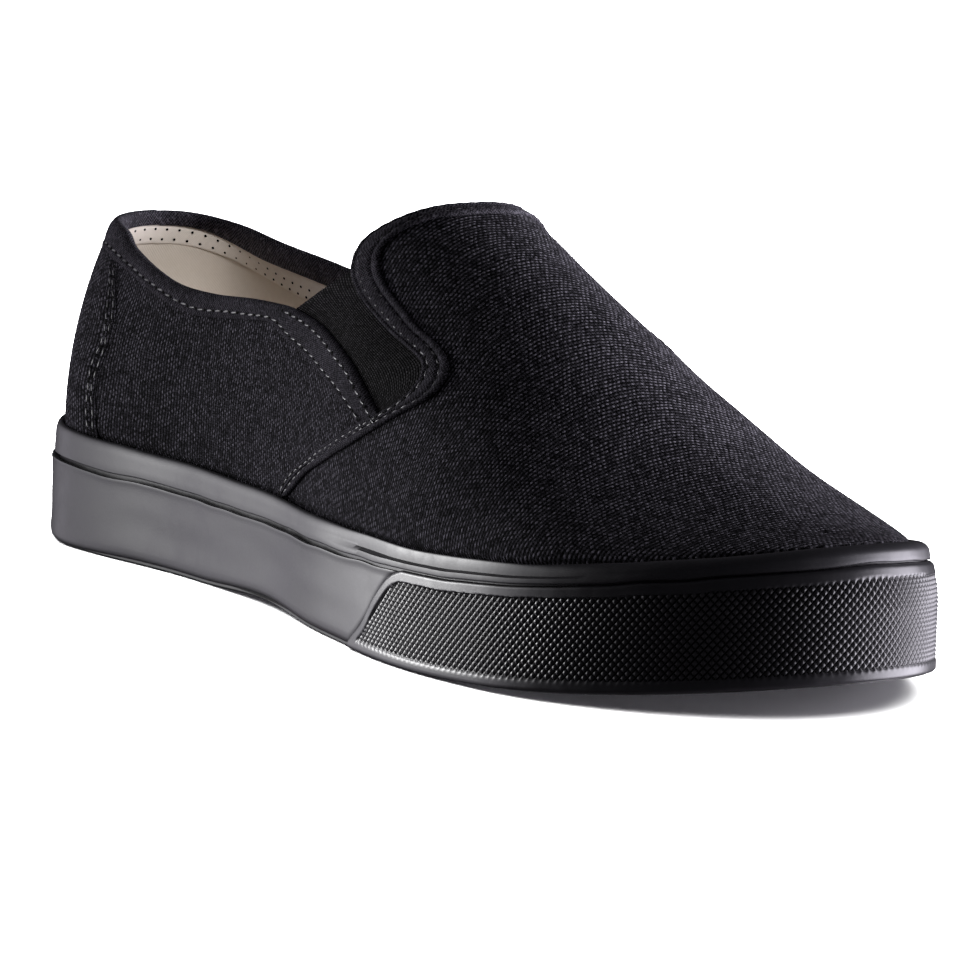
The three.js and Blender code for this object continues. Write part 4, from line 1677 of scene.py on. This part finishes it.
# Studio
def area_light(name, place, aim, size, power, only=(), gloss_only=False):
    data = bpy.data.lights.new(name, "AREA")
    data.shape = "RECTANGLE"
    data.size, data.size_y = size
    data.energy = power
    light = bpy.data.objects.new(name, data)
    light.location = place
    light.rotation_euler = (Vector(aim) - Vector(place)).to_track_quat("-Z", "Y").to_euler()
    bpy.context.scene.collection.objects.link(light)
    light.visible_camera = False
    light.visible_diffuse = not gloss_only
    if only:
        lit = bpy.data.collections.new(name)
        for piece in only:
            lit.objects.link(piece)
        light.light_linking.receiver_collection = lit


def floor_piece():
    """A flat white floor disc that lights nothing itself."""
    form = bmesh.new()
    bmesh.ops.create_circle(form, cap_ends=True, segments=96, radius=14)
    mesh = bpy.data.meshes.new("floor")
    form.to_mesh(mesh)
    form.free()
    floor = bpy.data.objects.new("floor", mesh)
    bpy.context.scene.collection.objects.link(floor)
    finish = Finish("white_floor", 0.9, {"Specular IOR Level": 0.0, "Base Color": grey(0.85)})
    mesh.materials.append(finish.material)
    floor.visible_glossy = False
    floor.visible_diffuse = False
    floor.visible_shadow = False
    return floor


CAMERA_PLACE = Vector((1274.436, -879.988, 273.245))
CAMERA_RIGHT = Vector((0.56572335, 0.82388817, 0.03413754))
CAMERA_UP = Vector((-0.14692823, 0.05997879, 0.98732702))
CAMERA_LENS = 263.1


def camera():
    data = bpy.data.cameras.new("camera")
    data.sensor_fit = "HORIZONTAL"
    data.sensor_width = 36
    data.lens = CAMERA_LENS
    data.clip_end = 100
    view = bpy.data.objects.new("camera", data)
    back = CAMERA_RIGHT.cross(CAMERA_UP).normalized()
    up = back.cross(CAMERA_RIGHT).normalized()
    place = TO_FRAME @ CAMERA_PLACE
    view.matrix_world = Matrix((
        (CAMERA_RIGHT.x, up.x, back.x, place.x),
        (CAMERA_RIGHT.y, up.y, back.y, place.y),
        (CAMERA_RIGHT.z, up.z, back.z, place.z),
        (0, 0, 0, 1),
    ))
    bpy.context.scene.collection.objects.link(view)
    bpy.context.scene.camera = view


SOFTBOXES = table(
    "turn rise inner outer strength",
    (-147, 0, 18, 42, 1.5),
    (66, -8, 10, 42, 10.5),
)
FRONT_TURN = -35


def towards(turn, rise):
    """The direction at a turn round the shoe and a rise above the floor, in degrees."""
    turn, rise = math.radians(turn), math.radians(rise)
    return Vector((math.cos(turn) * math.cos(rise), math.sin(turn) * math.cos(rise), math.sin(rise)))


def studio_sky():
    """Broad softboxes to the left and the right, and little light from the front."""
    world = bpy.data.worlds.new("studio")
    bpy.context.scene.world = world
    world.use_nodes = True
    tree = world.node_tree
    way = tree.nodes.new("ShaderNodeTexCoord").outputs["Generated"]

    def lobe(middle, outer, inner, outside, within):
        facing = tree.nodes.new("ShaderNodeVectorMath")
        facing.operation = "DOT_PRODUCT"
        facing.inputs[1].default_value = middle
        tree.links.new(way, facing.inputs[0])
        spread = tree.nodes.new("ShaderNodeMapRange")
        spread.interpolation_type = "SMOOTHSTEP"
        limits = (math.cos(math.radians(outer)), math.cos(math.radians(inner)), outside, within)
        for k, limit in enumerate(limits):
            spread.inputs[k + 1].default_value = limit
        tree.links.new(facing.outputs["Value"], spread.inputs[0])
        return spread.outputs[0]

    light = lobe(towards(FRONT_TURN, 0), 95, 35, 0.05, 0.035)
    for box in SOFTBOXES:
        total = tree.nodes.new("ShaderNodeMath")
        tree.links.new(light, total.inputs[0])
        extra = lobe(towards(box["turn"], box["rise"]), box["outer"], box["inner"], 0.0, box["strength"])
        tree.links.new(extra, total.inputs[1])
        light = total.outputs[0]
    seen = tree.nodes.new("ShaderNodeMix")
    tree.links.new(tree.nodes.new("ShaderNodeLightPath").outputs["Is Camera Ray"], seen.inputs[0])
    tree.links.new(light, seen.inputs[2])
    seen.inputs[3].default_value = 1.0
    tree.links.new(seen.outputs[0], tree.nodes["Background"].inputs["Strength"])
    tree.nodes["Background"].inputs["Color"].default_value = tint(0.93, 0.895, 1.0)


floor = floor_piece()
camera()
studio_sky()
inside_pieces = [bpy.data.objects[name] for name in ("lining", "collar_tape", "throat_tape", "footbed")]
area_light("floor_light", (0, 0, 2.0), (0, 0, 0), (5, 5), 840, [floor])
area_light("inside_light", (0.5, -0.12, 0.5), (-0.11, 0.0, 0.075), (0.3, 0.3), 4.5, inside_pieces)
area_light("ball_strip", (-0.125, -0.178, 0.045), (0.06, -0.05, 0.02), (0.1, 0.09), 0.65,
           gloss_only=True)
bpy.context.scene.view_settings.view_transform = "Standard"
